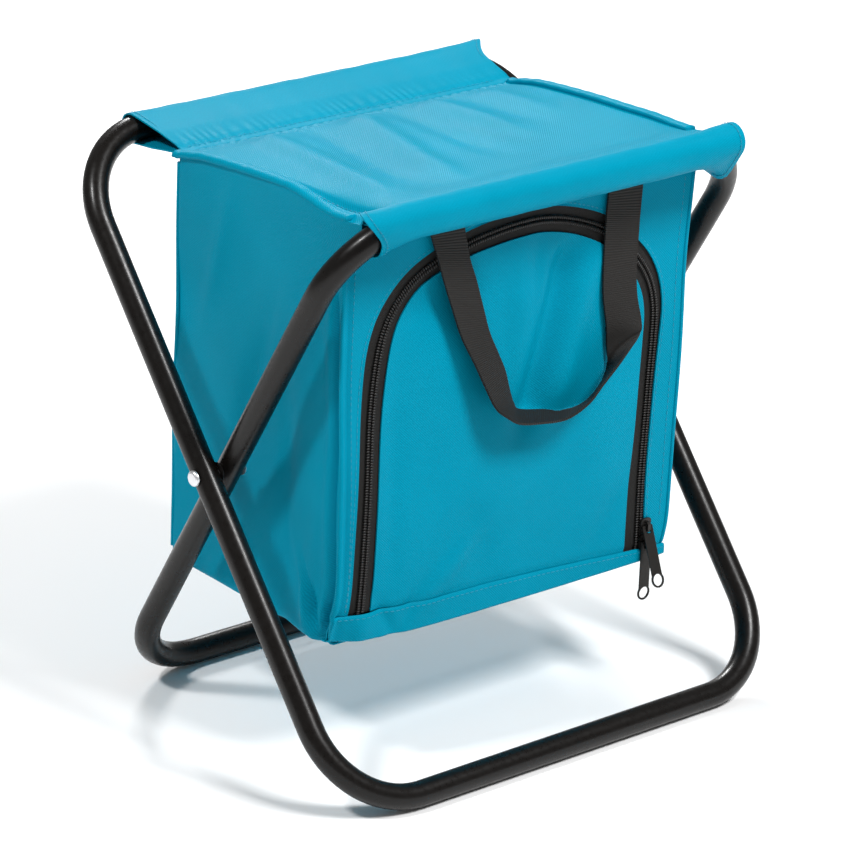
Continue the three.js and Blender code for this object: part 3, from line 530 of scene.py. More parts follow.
@shared("painted_zinc")
def zip_metal_material(tree, colours):
    """Painted zinc of sliders and pulls: satin black, a little uneven where the casting shows."""
    return hard(tree, colours.metal, 0.36, 0.55, 700.0, 0.00006)


@shared("nylon_coil")
def coil_material(tree, colours):
    """Nylon coil of the zip: smooth black monofilament with small bright highlights."""
    return hard(tree, colours.coil, 0.38, 0.0, 900.0, 0.00003)


def narrow_goods(tree, colour, ribs_per_metre, roughness):
    """Black woven narrow goods: ribs across the piece's weave, with a matt yarn between them. The ribs are raised and
    also painted lighter, with painted shade between them, under a random yarn tone.
    """
    place = coordinates(tree, weave=True)
    ribs = texture(tree, "Wave", place, ribs_per_metre, {"Distortion": 0.4, "Detail": 1.0}, bands_direction="Y")
    yarn = texture(tree, "Noise", place, 1100.0, {"Detail": 2.0})
    # painted highlight on each rib and painted shade between, times a random yarn tone
    painted_shade_and_tone = product(tree, between(tree, ribs, 0.6, 1.35, (0, 1)), between(tree, yarn, 0.8, 1.25))
    return {"Base Color": tinted(tree, colour, painted_shade_and_tone), "Normal": raised(tree, ribs, 0.6, 0.0004),
            "Roughness": roughness, "Sheen Weight": 0.05, "Specular IOR Level": 0.3}


@shared("ribbed_webbing")
def webbing_material(tree, colours):
    """Polypropylene webbing: ribs of 1.4 mm across the strap, matt, with a painted highlight on each rib and painted
    shade between.
    """
    return narrow_goods(tree, colours.webbing, 225.0, 0.7)


@shared("zip_tape_weave")
def tape_material(tree, colours):
    """Zip tape: fine woven polyester with ribs of 0.9 mm along the chain, painted lighter on each rib and darker
    between.
    """
    return narrow_goods(tree, colours.tape, 350.0, 0.8)


@shared("aluminised_film")
def film_material(tree, colours):
    """Aluminised film laminated to the foam: a crinkled mirror whose small facets break up the light."""
    place = coordinates(tree)
    crinkle = texture(tree, "Voronoi", place, 90.0)
    waves = texture(tree, "Noise", place, 40.0, {"Detail": 4.0})
    return {"Base Color": tinted(tree, colours.film, between(tree, waves, 0.82, 1.0)),
            "Normal": raised(tree, crinkle, 0.4, 0.001, raised(tree, waves, 0.6, 0.003)),
            "Metallic": 0.85, "Roughness": 0.32}


@shared("closed_cell_foam")
def foam_material(tree, colours):
    """White closed-cell foam: small pores and a soft, chalky face."""
    pores = texture(tree, "Voronoi", coordinates(tree), 700.0)
    return {"Base Color": tinted(tree, colours.foam, between(tree, pores, 0.86, 1.0, (0, 1))),
            "Normal": raised(tree, pores, 0.4, 0.0005), "Roughness": 0.9}


@shared("seamless_paper")
def floor_material(tree, colours):
    """Seamless paper: pale, with a faint unevenness so that it doesn't look like a void."""
    cloud = texture(tree, "Noise", coordinates(tree), 2.0)
    return {"Base Color": tinted(tree, colours.floor, between(tree, cloud, 0.985, 1.0, (0, 1))), "Roughness": 0.9}


# Frame
def bent_loop(name, half_width, upper, lower, tilt, nodes, body):
    """A closed tube loop: a circle of tube is swept along the top bar, round each bend and back to the joint."""
    sizes = bpy.context.scene.stool_sizes
    radius, bend, slot = sizes.tube_radius, sizes.bend_radius, 0.3 * MM
    deselect()
    bpy.ops.mesh.primitive_circle_add(vertices=sizes.tube_sides, radius=radius, fill_type="NOTHING",
                                      location=(slot, 0, upper), rotation=(0, math.pi / 2, 0))
    piece = name_piece(name)
    bpy.ops.object.transform_apply(location=True, rotation=True)
    bpy.ops.object.mode_set(mode="EDIT")
    bpy.ops.mesh.select_all(action="SELECT")
    straight = half_width - bend
    runs = [((straight - slot, 0, 0), (straight, 0, upper - bend)),
            ((0, 0, -(upper + lower - 2 * bend)), (straight, 0, bend - lower)),
            ((-2 * straight, 0, 0), (-straight, 0, bend - lower)),
            ((0, 0, upper + lower - 2 * bend), (-straight, 0, upper - bend)),
            ((straight - slot, 0, 0), None)]
    for move, centre in runs:
        bpy.ops.mesh.extrude_edges_move(TRANSFORM_OT_translate={"value": move})
        if centre:
            bpy.ops.mesh.spin(steps=18, angle=-math.pi / 2, center=centre, axis=(0, 1, 0))
    bpy.ops.mesh.select_all(action="SELECT")
    bpy.ops.mesh.remove_doubles(threshold=0.000001)
    bpy.ops.mesh.normals_make_consistent(inside=False)
    bpy.ops.object.mode_set(mode="OBJECT")
    apply_modifier(piece, "SOLIDIFY", thickness=sizes.tube_wall, offset=-1.0)
    move_points(piece.data, points_of(piece.data) @ np.array(Matrix.Rotation(tilt, 3, "X")).T + np.array(PIVOT))
    smooth(piece, 30)
    return finish_piece(piece, steel_material(), body, nodes)


class STOOL_OT_frame(Operator):
    """Builds the two bent tube loops"""
    bl_idname = "stool.frame"
    bl_label = "Tube loops"

    def execute(self, context):
        outer_half = OUTER_BOX[1].x - TUBE * MM
        inner_half = INNER_BOX[1].x - TUBE * MM
        reach = lambda point: math.hypot(point.y - PIVOT.y, point.z - PIVOT.z)
        height = Vector((0, 0, context.scene.stool_sizes.tube_radius))
        bent_loop("outer_loop", outer_half, reach(REAR_BAR), reach(FEET["front_foot"] + height),
                  -math.atan2(REAR_BAR.y, REAR_BAR.z - PIVOT.z), ["outer_frame_tube"], "outer_frame")
        bent_loop("inner_loop", inner_half, reach(FRONT_BAR), reach(FEET["rear_foot"] + height),
                  math.atan2(-FRONT_BAR.y, FRONT_BAR.z - PIVOT.z), ["inner_frame_tube"], "inner_frame")
        return {"FINISHED"}


class STOOL_OT_rivets(Operator):
    """Builds the domed pivot rivets and finishes the washers and the tube joints"""
    bl_idname = "stool.rivets"
    bl_label = "Rivets and washers"

    def execute(self, context):
        dome, shank, clinch, head = 2.4 * MM, 2.7 * MM, 4.2 * MM, 1.35 * MM
        push = lambda depth: bpy.ops.mesh.extrude_region_move(TRANSFORM_OT_translate={"value": (0, 0, -depth)})
        widen = lambda share: bpy.ops.transform.resize(value=(share, share, 1), center_override=(0, 0, 0))
        for side, word in SIDES:
            low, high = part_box(f"pivot_rivet_{word}")
            radius = (high.z - low.z) / 2
            outer, inner = (low.x, high.x) if side < 0 else (high.x, low.x)
            deselect()
            bpy.ops.mesh.primitive_cylinder_add(vertices=40, radius=radius, depth=dome, location=(0, 0, dome / 2))
            piece = name_piece(f"domed_rivet_{word}")
            bpy.ops.object.transform_apply(location=True)
            bpy.ops.object.mode_set(mode="EDIT")
            bpy.ops.mesh.select_mode(type="FACE")
            bpy.ops.mesh.select_all(action="DESELECT")
            bpy.ops.object.mode_set(mode="OBJECT")
            for face in piece.data.polygons:
                face.select = face.normal.z < -0.9
            bpy.ops.object.mode_set(mode="EDIT")
            bpy.ops.mesh.inset(thickness=radius - shank)
            push(abs(outer - inner) - dome - 1.4 * MM)
            push(0.05 * MM)
            widen(clinch / shank)
            push(head)
            widen(0.55)
            bpy.ops.object.mode_set(mode="OBJECT")
            with editing(piece, "DESELECT"):
                bpy.ops.mesh.select_mode(type="EDGE")
            top = max(v.co.z for v in piece.data.vertices)
            for edge in piece.data.edges:
                edge.select = all(piece.data.vertices[i].co.z > top - TOUCHING for i in edge.vertices)
            bpy.ops.object.mode_set(mode="EDIT")
            bpy.ops.mesh.bevel(offset=2.2 * MM, segments=7, affect="EDGES", clamp_overlap=True)
            bpy.ops.object.mode_set(mode="OBJECT")
            turn = Matrix.Rotation(side * math.pi / 2, 4, "Y")
            turn = Matrix.Translation((outer - side * dome, 0, PIVOT.z)) @ turn
            move_points(piece.data, [tuple(turn @ v.co) for v in piece.data.vertices])
            smooth(piece, 35)
            finish_piece(piece, bright_material(), "outer_frame", [f"pivot_rivet_{word}"])
        for part in ("outer_joint_spigot", "inner_joint_spigot", "clinch_washer_left", "clinch_washer_right"):
            dress(part, bright_material())
        for part in ("spacer_washer_left", "spacer_washer_right"):
            dress(part, coil_material())
        return {"FINISHED"}


# Sleeves
NORMALS = np.linspace(-math.pi, math.pi, 96, endpoint=False)


def hull_reach(way, drop, stretch, fall, radius, reach):
    """Distance from a bar's middle to the cloth, drawn tight round the bar, its falling bend and the
    sewn tab."""
    core = 8.9
    normal = NORMALS[None, :]
    off_fall = normal - fall
    along = core * stretch[:, None] * np.cos(off_fall)
    tube = drop[:, None] * np.cos(off_fall) + np.hypot(along, core * np.sin(off_fall)) + radius - core
    tab = reach * np.cos(normal) + 0.9
    support = np.maximum(np.maximum(radius, tube), tab)
    facing = np.cos(normal - way[:, None])
    return np.where(facing > 0.05, support / np.maximum(facing, 0.05), 1e6).min(axis=1)


def sleeve_place(bar, tab, half_width, left, right, swell, sag, ripple):
    """Cloth drawn round a bar to a sewn tab. It runs on straight past the bends, so its mouths stand open
    above the falling tube. left and right give each mouth's X on its far side and on the tube's side, u runs
    along the bar, and v from the tab round the bar and back. tail is the share of v on each way to the tab."""
    sizes = bpy.context.scene.stool_sizes
    bend, radius = sizes.bend_radius / MM, sizes.sleeve_radius / MM
    straight = half_width - bend
    middle = np.array((bar.y, bar.z)) / MM
    to_tab = np.array((tab.y, tab.z)) / MM - middle
    reach = np.hypot(*to_tab)
    to_tab /= reach
    across = np.array((-to_tab[1], to_tab[0]))
    inward = np.array((PIVOT.y, PIVOT.z)) / MM - middle
    fall = math.atan2(inward @ across, inward @ to_tab)
    opening = math.acos(radius / reach)

    tail = 0.24

    def place(u, v):
        turn = -opening - np.clip((v - tail) / (1 - 2 * tail), 0, 1) * (2 * math.pi - 2 * opening)
        ring = radius * np.column_stack([np.cos(turn), np.sin(turn)])
        low = np.array((reach, -0.9))
        high = np.array((reach, 0.9))
        ring = np.where(v[:, None] < tail, low + (ring - low) * (v[:, None] / tail), ring)
        ring = np.where(v[:, None] > 1 - tail, high + (ring - high) * ((1 - v[:, None]) / tail), ring)
        way = np.arctan2(ring[:, 1], ring[:, 0])
        tube_side = 0.5 + 0.5 * np.cos(way - fall)
        start = left[0] + (left[1] - left[0]) * tube_side
        end = right[0] + (right[1] - right[0]) * tube_side
        x = start + u * (end - start)
        leaning = np.arcsin(np.clip((np.abs(x) - straight) / bend, 0, 0.93))
        drop = bend * (1 - np.cos(leaning))
        size = hull_reach(way, drop, 1 / np.cos(leaning), fall, radius, reach)
        size = np.maximum(size, np.hypot(ring[:, 0], ring[:, 1]))
        round_bar = ease(v, 0.08, 0.26) * ease(v, 0.92, 0.74)
        from_left = np.exp(-(u * (end - start) / 24) ** 2)
        from_right = np.exp(-((1 - u) * (end - start) / 30) ** 2)
        size = size + (swell[0] * from_left + swell[1] * from_right) * (1 - tube_side) * round_bar
        wave = (np.sin(x / 7.3 + 9 * v) + 0.6 * np.sin(x / 3.9 - 14 * v + 1.3)) * (0.35 + 0.65 * np.sin(math.pi * v))
        pucker = 0.42 * np.sin(x / 1.25 + 2.6 * np.sin(x / 9)) * (0.65 + 0.35 * np.sin(x / 23))
        pucker = pucker * (bump(v, 0.05, 0.045) + bump(v, 0.95, 0.045))
        groove = 0.7 * (bump(v, 0.03, 0.012) + bump(v, 0.97, 0.012))
        leg = ease(v, tail, 0.16) - ease(v, 1 - tail, 0.84)
        lift = (ripple * wave + pucker - groove) * ease(v, 0, 0.02) * ease(v, 1, 0.98)
        size = size + lift * (1 - np.abs(leg))
        hang = sag * np.sin(math.pi * np.clip(v / 0.4, 0, 1)) ** 1.3 * (1 - 0.9 * from_right) * (1 - 0.6 * from_left)
        a = size * np.cos(way)
        b = size * np.sin(way) - hang - lift * leg
        limit = BAG_HALF + 2
        at_tab = np.minimum(np.clip((0.2 - v) / 0.2, 0, 1) + np.clip((v - 0.8) / 0.2, 0, 1), 1)
        x = x + (np.clip(x, -limit, limit) - x) * at_tab
        return x, middle[0] + to_tab[0] * a + across[0] * b, middle[1] + to_tab[1] * a + across[1] * b

    return place


def on_cloth(place, u, v, lift, bar):
    """A line on a sleeve, lifted off the bar's middle line."""
    x, y, z = place(np.broadcast_to(u, np.shape(u + v)).copy(), np.broadcast_to(v, np.shape(u + v)).copy())
    out = np.column_stack([np.zeros(len(x)), y - bar.y / MM, z - bar.z / MM])
    out *= lift / np.linalg.norm(out, axis=1)[:, None]
    return (np.column_stack([x, y, z]) + out) * MM


class STOOL_OT_sleeves(Operator):
    """Builds the cloth sleeves round both top bars"""
    bl_idname = "stool.sleeves"
    bl_label = "Sleeves"

    def execute(self, context):
        sizes = context.scene.stool_sizes
        outer_half = OUTER_BOX[1].x / MM - TUBE
        inner_half = INNER_BOX[1].x / MM - TUBE
        rear = sleeve_place(REAR_BAR, Vector((0, 96.3, 381.8)) * MM, outer_half, (-141, -139), (171, 150),
                            (0.3, 0.8), -1.2, 0.16)
        front = sleeve_place(FRONT_BAR, Vector((0, -86.3, 372.9)) * MM, inner_half, (-168, -149), (155, 156),
                             (-1.0, 2.5), 4.0, 0.14)
        for name, place, bar, body, node, loop in (
                ("rear_bar_sleeve", rear, REAR_BAR, "rear_sleeve_body", "rear_sleeve", "outer_loop"),
                ("front_bar_sleeve", front, FRONT_BAR, "front_sleeve_body", "front_sleeve", "inner_loop")):
            piece = cloth_grid(name, 220, 84, place, bar, sizes.cloth)
            finish_piece(piece, cloth_material(), body, [node])
            away = lambda point, bar=bar: (0, point.y - bar.y, point.z - bar.z)
            for word, u in (("left", 0.013), ("right", 0.987)):
                line = on_cloth(place, u, np.linspace(0.16, 0.84, 90), 0.35, bar)
                stitches(f"{node}_hem_{word}", line, away, body, 3.4 * MM)
            if node == "rear_sleeve":
                line = on_cloth(place, np.linspace(0.02, 0.94, 160), 0.03, 0.0, bar) + (0, 0, 0.0003)
                stitches("rear_seam_stitches", line, UP, body)
        return {"FINISHED"}


# Seat
seat_line = curve_at(SEAT_LINE)
left_edge = curve_at(LEFT_EDGE)
right_edge = curve_at(RIGHT_EDGE)
band_seam = curve_at(BAND_SEAM)
band_foot = curve_at(BAND_FOOT)

# Slack folds of the seat: X at the rear seam and at the front sleeve, half width, height, and where each ends
SEAT_FOLDS = ((-86, -114, 13, 4.4, -100), (-44, -86, 12, -3.0, -92), (-4, -58, 13, 4.6, -95),
              (28, 4, 11, -2.8, -60), (54, 55, 12, 3.8, -30), (82, 80, 9, -1.6, -20), (104, 106, 11, 2.4, 0))


def seat_height(x, y):
    """Top of the seat cloth: its line from bar to bar, slack folds from the rear seam and drooping
    front corners."""
    folds = 0.0
    for start, end, spread, height, stop in SEAT_FOLDS:
        middle = start + (end - start) * (92 - y) / 180
        folds = folds + height * bump(x, middle, spread) * ease(y, 98, 66) * ease(y, stop - 12, stop + 55)
    pucker = 0.5 * np.sin(x / 1.25 + 1.5 * np.sin(x / 11)) * bump(y, 91, 5) - 0.8 * bump(y, 91.5, 1.4)
    dip = 2.0 * bump(x, 0, 95) * bump(y, -10, 62)
    droop = 13.5 * bump(x, -156, 17) * ease(y, -20, -78) + 4.0 * bump(x, 156, 20) * ease(y, -40, -90)
    groove = 1.7 * bump(np.abs(x), HEM_LINE, 1.9) * ease(y, 97, 90)
    return seat_line(y) + folds + pucker - dip - droop - groove


def seat_place(u, v):
    x = (u * 2 - 1) * SEAT_HALF
    y = SEAT_REAR - v * (SEAT_REAR - SEAT_FRONT)
    return x, y, seat_height(x, y)


def on_seat(knots, lift, count=120):
    line = spline(knots, count)
    return np.column_stack([line[:, 0], line[:, 1], seat_height(line[:, 0], line[:, 1]) + lift]) * MM


def hem_place(side):
    """A hem turned and sewn along one side of the seat: u round its full section, v along the edge."""
    def place(u, v):
        y = 96 - v * (96 + 86)
        turn = 2 * math.pi * u
        edge = side * (SEAT_HALF - 3.4 + 4.5 * np.cos(turn))
        top = seat_height(side * (SEAT_HALF - 3.0), y)
        roll = 2.6 * np.sign(np.sin(turn)) * np.abs(np.sin(turn)) ** 0.8
        crease = 0.5 * bump(np.cos(turn), -0.1, 0.22) * (np.sin(turn) > 0)
        return edge, y, top + 0.5 + roll - crease - 0.7 * np.maximum(0, np.cos(turn)) + 0.12 * np.sin(y / 2.1)
    return place


class STOOL_OT_seat(Operator):
    """Builds the seat cloth, its side hems and the double seam at the rear"""
    bl_idname = "stool.seat"
    bl_label = "Seat"

    def execute(self, context):
        sizes = context.scene.stool_sizes
        seat = cloth_grid("seat_cloth", 230, 100, seat_place, (0, 0, 0), sizes.cloth)
        finish_piece(seat, cloth_material(), "bag_rear", ["seat_panel"])
        parts = []
        for side, word in SIDES:
            middle = (side * (SEAT_HALF - 3) * MM, 0.006, 0.392)
            hem = cloth_grid(f"seat_hem_{word}", 14, 90, hem_place(side), middle, 0, closed=True)
            close_ends(hem)
            finish_piece(hem, cloth_material(), "bag_rear", [f"seat_binding_{word}"])
            parts.append(hem)
            line = on_seat([(side * HEM_LINE, y) for y in (94, 0, -92)], 0.3)
            parts.append(stitches(f"hem_stitches_{word}", line, UP, "bag_rear"))
        line = on_seat([(-SEAT_HALF + 8, 91.5), (0, 91.5), (SEAT_HALF - 8, 91.5)], 0.2, 200)
        parts.append(stitches("seat_seam_stitches", line, UP, "bag_rear"))
        for piece in [seat] + parts:
            flatten(piece)
        return {"FINISHED"}


def flatten(piece):
    """Gives one of the bag's soft pieces its own copy of its mesh."""
    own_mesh(piece)


def close_ends(piece):
    """Fills the two open ends of a tube of cloth."""
    with editing(piece, "DESELECT"):
        bpy.ops.mesh.select_mode(type="EDGE")
        bpy.ops.mesh.select_non_manifold(extend=False)
        bpy.ops.mesh.edge_face_add()
        bpy.ops.mesh.select_all(action="SELECT")
        bpy.ops.mesh.normals_make_consistent(inside=False)


# Bag walls
def shell_place(offset, top_drop, slack, margin):
    """The bag's walls and floor as one shell: u runs round the left, rear and right walls, v down the
    wall and then inward along the floor. offset is the depth of a layer, and 0 is the outer cloth."""
    corner, round_off, wall_share = 4.5, 7.0, 0.72
    front, rear = BAG_FRONT + margin, BAG_REAR - offset
    arc = corner * math.pi / 2
    half_back = BAG_HALF - offset - corner
    half_run = rear - corner - front + arc + half_back
    outer = offset < 1

    def place(u, v):
        s = np.abs(u - 0.5) * 2 * half_run
        side = np.where(u < 0.5, -1.0, 1.0)
        at_left = side < 0
        on_back = s <= half_back
        on_arc = (s > half_back) & (s <= half_back + arc)
        turn = np.clip((s - half_back) / corner, 0, math.pi / 2)
        x = np.where(on_back, s, half_back + corner * np.sin(turn))
        y = np.where(on_back, rear, np.where(on_arc, rear - corner + corner * np.cos(turn),
                                             rear - corner - (s - half_back - arc)))
        floor_z = BAG_BOTTOM + offset + 2.2 + 3.4 * ease(y, -70, 90)
        side_top = seat_height(side * (BAG_HALF - 4), y) - top_drop
        top = np.where(y < rear - 1, side_top, REAR_TOP - top_drop * 0.5)
        down = np.clip(v / wall_share, 0, 1)
        inward = np.clip((v - wall_share) / (1 - wall_share), 0, 1)
        curl = np.clip(inward / 0.1, 0, 1) * math.pi / 2
        run = np.clip((inward - 0.1) / 0.9, 0, 1)
        z = top - down * (top - floor_z - round_off) - round_off * np.sin(curl)
        pull = round_off * (1 - np.cos(curl))
        edge = np.where(at_left, left_edge(z), right_edge(z))
        front_y = front_face(edge, z)
        width = x + np.where(x > half_back, (side * edge - BAG_HALF) * ease(y, 60, -60), 0)
        y = y + (front_y - BAG_FRONT) * ease(y, 0, front)
        y = y - 15.0 * ease(y, -40, front) * ease(z, 360, 384) * outer
        depth = np.clip((y - front) / (rear - front), 0, 1)
        sag = slack * np.sin(math.pi * depth) * np.sin(math.pi * down) ** 0.8
        fold = 2.4 * bump(y, -26, 9) * ease(z, 320, 220)
        fold = fold - 2.0 * bump(y, -52 - 0.12 * (z - 100), 8) * ease(z, 230, 120)
        behind = y - front_y
        if outer:
            fold = fold + 3.6 * bump(behind, 8, 2.0) * ease(z, 350, 320)
            fold = fold - 1.6 * bump(behind, 14, 4) * ease(z, 350, 300)
            fold = fold + 5.4 * bump(behind - 0.22 * (z - 96), 4.5, 2.2) * bump(z, 106, 15) * at_left
            fold = fold + 5.2 * bump(behind - 0.6 * (z - 96), 11, 3.0) * bump(z, 112, 22) * at_left
            fold = fold - 3.6 * bump(behind - 0.5 * (z - 96), 20, 5) * bump(z, 112, 30) * at_left
        else:
            fold = fold + 4.0 * bump(behind, 8, 7.0) * ease(z, 360, 320)
            fold = fold + 6.0 * bump(behind - 0.45 * (z - 96), 9, 10.0) * bump(z, 106, 30) * at_left
        fold = fold + 3.6 * bump(y + 0.35 * (z - 250), 10, 9) * bump(z, 235, 60)
        fold = fold - 2.6 * bump(y + 0.3 * (z - 300), 58, 9) * bump(z, 320, 50)
        waves = 1.3 * (np.sin(z / 23 + y / 31 + side) + 0.6 * np.sin(y / 13 - z / 57)) * np.sin(math.pi * down)
        creases = fold * (x > half_back) + waves
        on_side = ease(x, half_back + corner * 0.6, half_back + corner)
        width = width - on_side * (sag + creases)
        y = y - (1 - on_side) * (sag_rear(side * x, z) * slack * 0.5 + creases * 0.6)
        spine = np.minimum(y, rear - 70)
        y = y - np.where(on_back | on_arc, pull, 0)
        return (side * np.maximum(width - pull, 0) * (1 - run), y + (spine - y) * run,
                z - 1.4 * np.sin(math.pi * run) * outer)

    return place


def sag_rear(x, z):
    """Slack of the rear wall, as a share of its depth."""
    return bump(x, -30, 70) * bump(z, 230, 80) + 0.5 * bump(x, 70, 40) * bump(z, 160, 60)


def lip_place(shell):
    """The seam allowance behind the front: u runs inward from the shell's front edge, v round its
    outline."""
    def place(u, v):
        half = 1 - np.abs(2 * v - 1)
        side = np.where(v < 0.5, -1.0, 1.0)
        x, y, z = shell(np.where(v < 0.5, 0.0, 1.0), half)
        floor = ease(half, 0.69, 0.75)
        inward = np.minimum(9.0 * u, np.abs(x))
        return x - side * inward * (1 - floor), y + 0.9 + 0.3 * u, z + (15.0 * u + 0.4) * floor
    return place


def rear_corner(shell, side):
    """The line down one rear corner of the shell, in mm."""
    run = np.linspace(0, 1, 801)
    x, y, z = shell(run, np.full_like(run, 0.3))
    corner = run[np.argmax(side * x + y)]
    down = np.linspace(0.01, 0.71, 100)
    return np.column_stack(shell(np.full_like(down, corner), down))


class STOOL_OT_bag(Operator):
    """Builds the bag's walls and floor, its foam and its silver lining"""
    bl_idname = "stool.bag"
    bl_label = "Bag walls"

    def execute(self, context):
        sizes = context.scene.stool_sizes
        outline = shell_place(0.0, 1.2, 2.6, 1.0)
        shell = cloth_grid("bag_shell", 360, 110, outline, INSIDE, sizes.cloth, closed=True)
        finish_piece(shell, cloth_material(), "bag_rear",
                     ["left_side_panel", "right_side_panel", "rear_panel", "bottom_panel"])
        foam = cloth_grid("bag_foam", 110, 60, shell_place(1.9, 6.0, 2.0, 6.0), INSIDE, sizes.foam, closed=True)
        finish_piece(foam, foam_material(), "bag_rear",
                     ["left_side_insulation", "right_side_insulation", "rear_insulation", "bottom_insulation"])
        film = cloth_grid("bag_film", 110, 60, shell_place(6.4, 6.4, 2.0, 9.0), INSIDE, sizes.film, closed=True)
        finish_piece(film, film_material(), "bag_rear",
                     ["left_side_liner", "right_side_liner", "rear_liner", "bottom_liner"])

        def under_seat(drop, margin):
            def place(u, v):
                x = (u * 2 - 1) * (BAG_HALF - margin)
                y = 90 - v * (90 + 82)
                return x, y, seat_height(x, y) - drop
            return place

        roof_foam = cloth_grid("roof_foam", 60, 60, under_seat(1.9, 6), INSIDE, sizes.foam)
        finish_piece(roof_foam, foam_material(), "bag_rear", ["top_insulation"])
        roof_film = cloth_grid("roof_film", 60, 60, under_seat(6.3, 7), INSIDE, sizes.film)
        finish_piece(roof_film, film_material(), "bag_rear", ["top_liner"])
        lip = cloth_grid("front_seam_allowance", 6, 160, lip_place(outline), BEHIND, 0.8 * MM)
        parts = [finish_piece(lip, cloth_material(), "bag_rear")]
        for side, word in SIDES:
            line = rear_corner(outline, side)

            def cord(share, turn, line=line):
                x, y, z = sample(line, np.arange(len(line)), share * (len(line) - 1)).T
                return x + 1.6 * np.cos(turn), y + 1.6 * np.sin(turn), z

            parts.append(piping(f"rear_piping_{word}", line[50] * MM, cord, "bag_rear"))
            beside = (line + (-side * 7.0, 0.15, 0)) * MM
            parts.append(stitches(f"rear_stitches_{word}", beside, (0, 1, 0), "bag_rear"))
        for piece in [shell, foam, film, roof_foam, roof_film] + parts:
            flatten(piece)
        return {"FINISHED"}


# Bag front
# Swells and creases of the front: depth (negative is toward the viewer), X and half width, Z and half
# height, and how far X moves to the left for each mm of height above that Z
FRONT_FORM = (
    (-4.2, -10, 80, 185, 60, 0), (-2.0, 80, 30, 180, 70, 0), (6.5, -72, 34, 322, 26, 0), (3.0, 40, 30, 335, 22, 0),
    (2.2, 14, 6, 316, 24, 0), (-1.5, -2, 9, 300, 34, 0), (10.0, -152, 30, 88, 26, 0), (-3.4, -128, 9, 99, 14, 0),
    (2.2, -108, 6, 104, 17, 0.5), (1.6, -87.6, 7, 106, 20, -0.6), (-2.6, -52.8, 12, 128, 22, -0.9),
    (1.8, 87, 12, 130, 26, -0.5), (1.6, -105, 9, 190, 80, 0), (1.4, 150, 14, 90, 20, 0),
    (1.8, -27.25, 14, 135, 30, 0.35))


def front_face(x, z):
    """Depth of the bag's front: its swells, the hollow under the sleeve, a slack valley and the
    pinched corner."""
    y = np.full(np.shape(x), BAG_FRONT, float)
    for depth, middle, wide, height, tall, lean in FRONT_FORM:
        y = y + depth * bump(x + lean * (z - height), middle, wide) * bump(z, height, tall)
    valley = (x - 45) * 0.957 - (z - 340) * 0.29
    slack = ease(z, 195, 245) * ease(z, 344, 316)
    y = y + slack * (7.5 * bump(valley, 0, 10) - 3.4 * bump(valley, 23, 12) - 1.6 * bump(valley, -22, 11))
    y = y + 0.9 * np.sin(x / 17 + z / 29) * bump(z, 240, 90)
    return y + 1.3 * bump(x - left_edge(z), 4.0, 2.0) + 0.9 * bump(z - band_seam(x), 0.6, 1.6)


def on_front(x, z, depth):
    """Points on the bag's front, or a little behind it, in metres."""
    return np.column_stack([x, front_face(x, z) + depth, z]) * MM


ARCH = spline(ZIP_ARCH, 481)
ARCH_SHARE = np.linspace(0, 1, len(ARCH))
ARCH_WAY = np.gradient(ARCH, axis=0)
ARCH_WAY /= np.linalg.norm(ARCH_WAY, axis=1)[:, None]


def on_arch(share, offset):
    """Points on the zip's line moved outward by an offset, given as a share of the way from the right foot."""
    x = np.interp(share, ARCH_SHARE, ARCH[:, 0])
    z = np.interp(share, ARCH_SHARE, ARCH[:, 1])
    tx = np.interp(share, ARCH_SHARE, ARCH_WAY[:, 0])
    tz = np.interp(share, ARCH_SHARE, ARCH_WAY[:, 1])
    size = np.hypot(tx, tz)
    return x + offset * tz / size, z - offset * tx / size


def outer_half(share):
    """How far the cloth's edge stands outside the chain: close on the right leg, wide on the crown and left."""
    return 4.4 + 5.1 * ease(share, 0.2, 0.36) + 2.4 * bump(share, 0.68, 0.09)


def inner_half(share):
    return 10.0 - 1.0 * ease(share, 0.2, 0.36) + 3.2 * ease(share, 0.22, 0.0)


def share_near(x, z):
    return ARCH_SHARE[np.argmin((ARCH[:, 0] - x) ** 2 + (ARCH[:, 1] - z) ** 2)]


def panel_outline(share):
    """The front panel's outer edge, matched to the zip's line so that cloth rules smoothly between them."""
    right_top = share_near(97.5, 319)
    left_top = share_near(-101, 326.5)
    a = np.clip(share / right_top, 0, 1)
    b = np.clip((share - right_top) / (left_top - right_top), 0, 1)
    c = np.clip((share - left_top) / (1 - left_top), 0, 1)
    z_right = 95.6 + a * (FRONT_TOP - 95.6)
    z_left = FRONT_TOP - c * (FRONT_TOP - 112.3)
    x_top = right_edge(FRONT_TOP) + b * (left_edge(FRONT_TOP) - right_edge(FRONT_TOP))
    x = np.where(share < right_top, right_edge(z_right), np.where(share > left_top, left_edge(z_left), x_top))
    z = np.where(share < right_top, z_right, np.where(share > left_top, z_left, FRONT_TOP))
    return x, z


def front_panel_place(u, v):
    x0, z0 = on_arch(u, outer_half(u))
    x1, z1 = panel_outline(u)
    x = x0 + (x1 - x0) * v
    z = z0 + (z1 - z0) * v
    lip = 0.5 * bump(v, 0, 0.06)
    return x, front_face(x, z) - lip, z


def band_place(u, v):
    x = left_edge(100) + u * (right_edge(90) - left_edge(100))
    top = band_seam(x)
    foot = band_foot(x)
    flat = np.clip(v / 0.7, 0, 1)
    curl = np.clip((v - 0.7) / 0.3, 0, 1) * math.pi / 2
    r = 3.2
    z = top - flat * (top - foot - r) - r * np.sin(curl)
    proud = 1.9 - 0.9 * bump(v, 0, 0.03)
    y = front_face(x, np.maximum(z, foot)) - proud + (r * 2.2 + 1.4) * (1 - np.cos(curl))
    return x, y, z


def zip_ribbon(inside, outside, depth):
    """A strip along the zip's line: u across it, v along it."""
    def place(u, v):
        x, z = on_arch(v, inside(v) + u * (outside(v) - inside(v)))
        return x, front_face(x, z) + depth, z
    return place


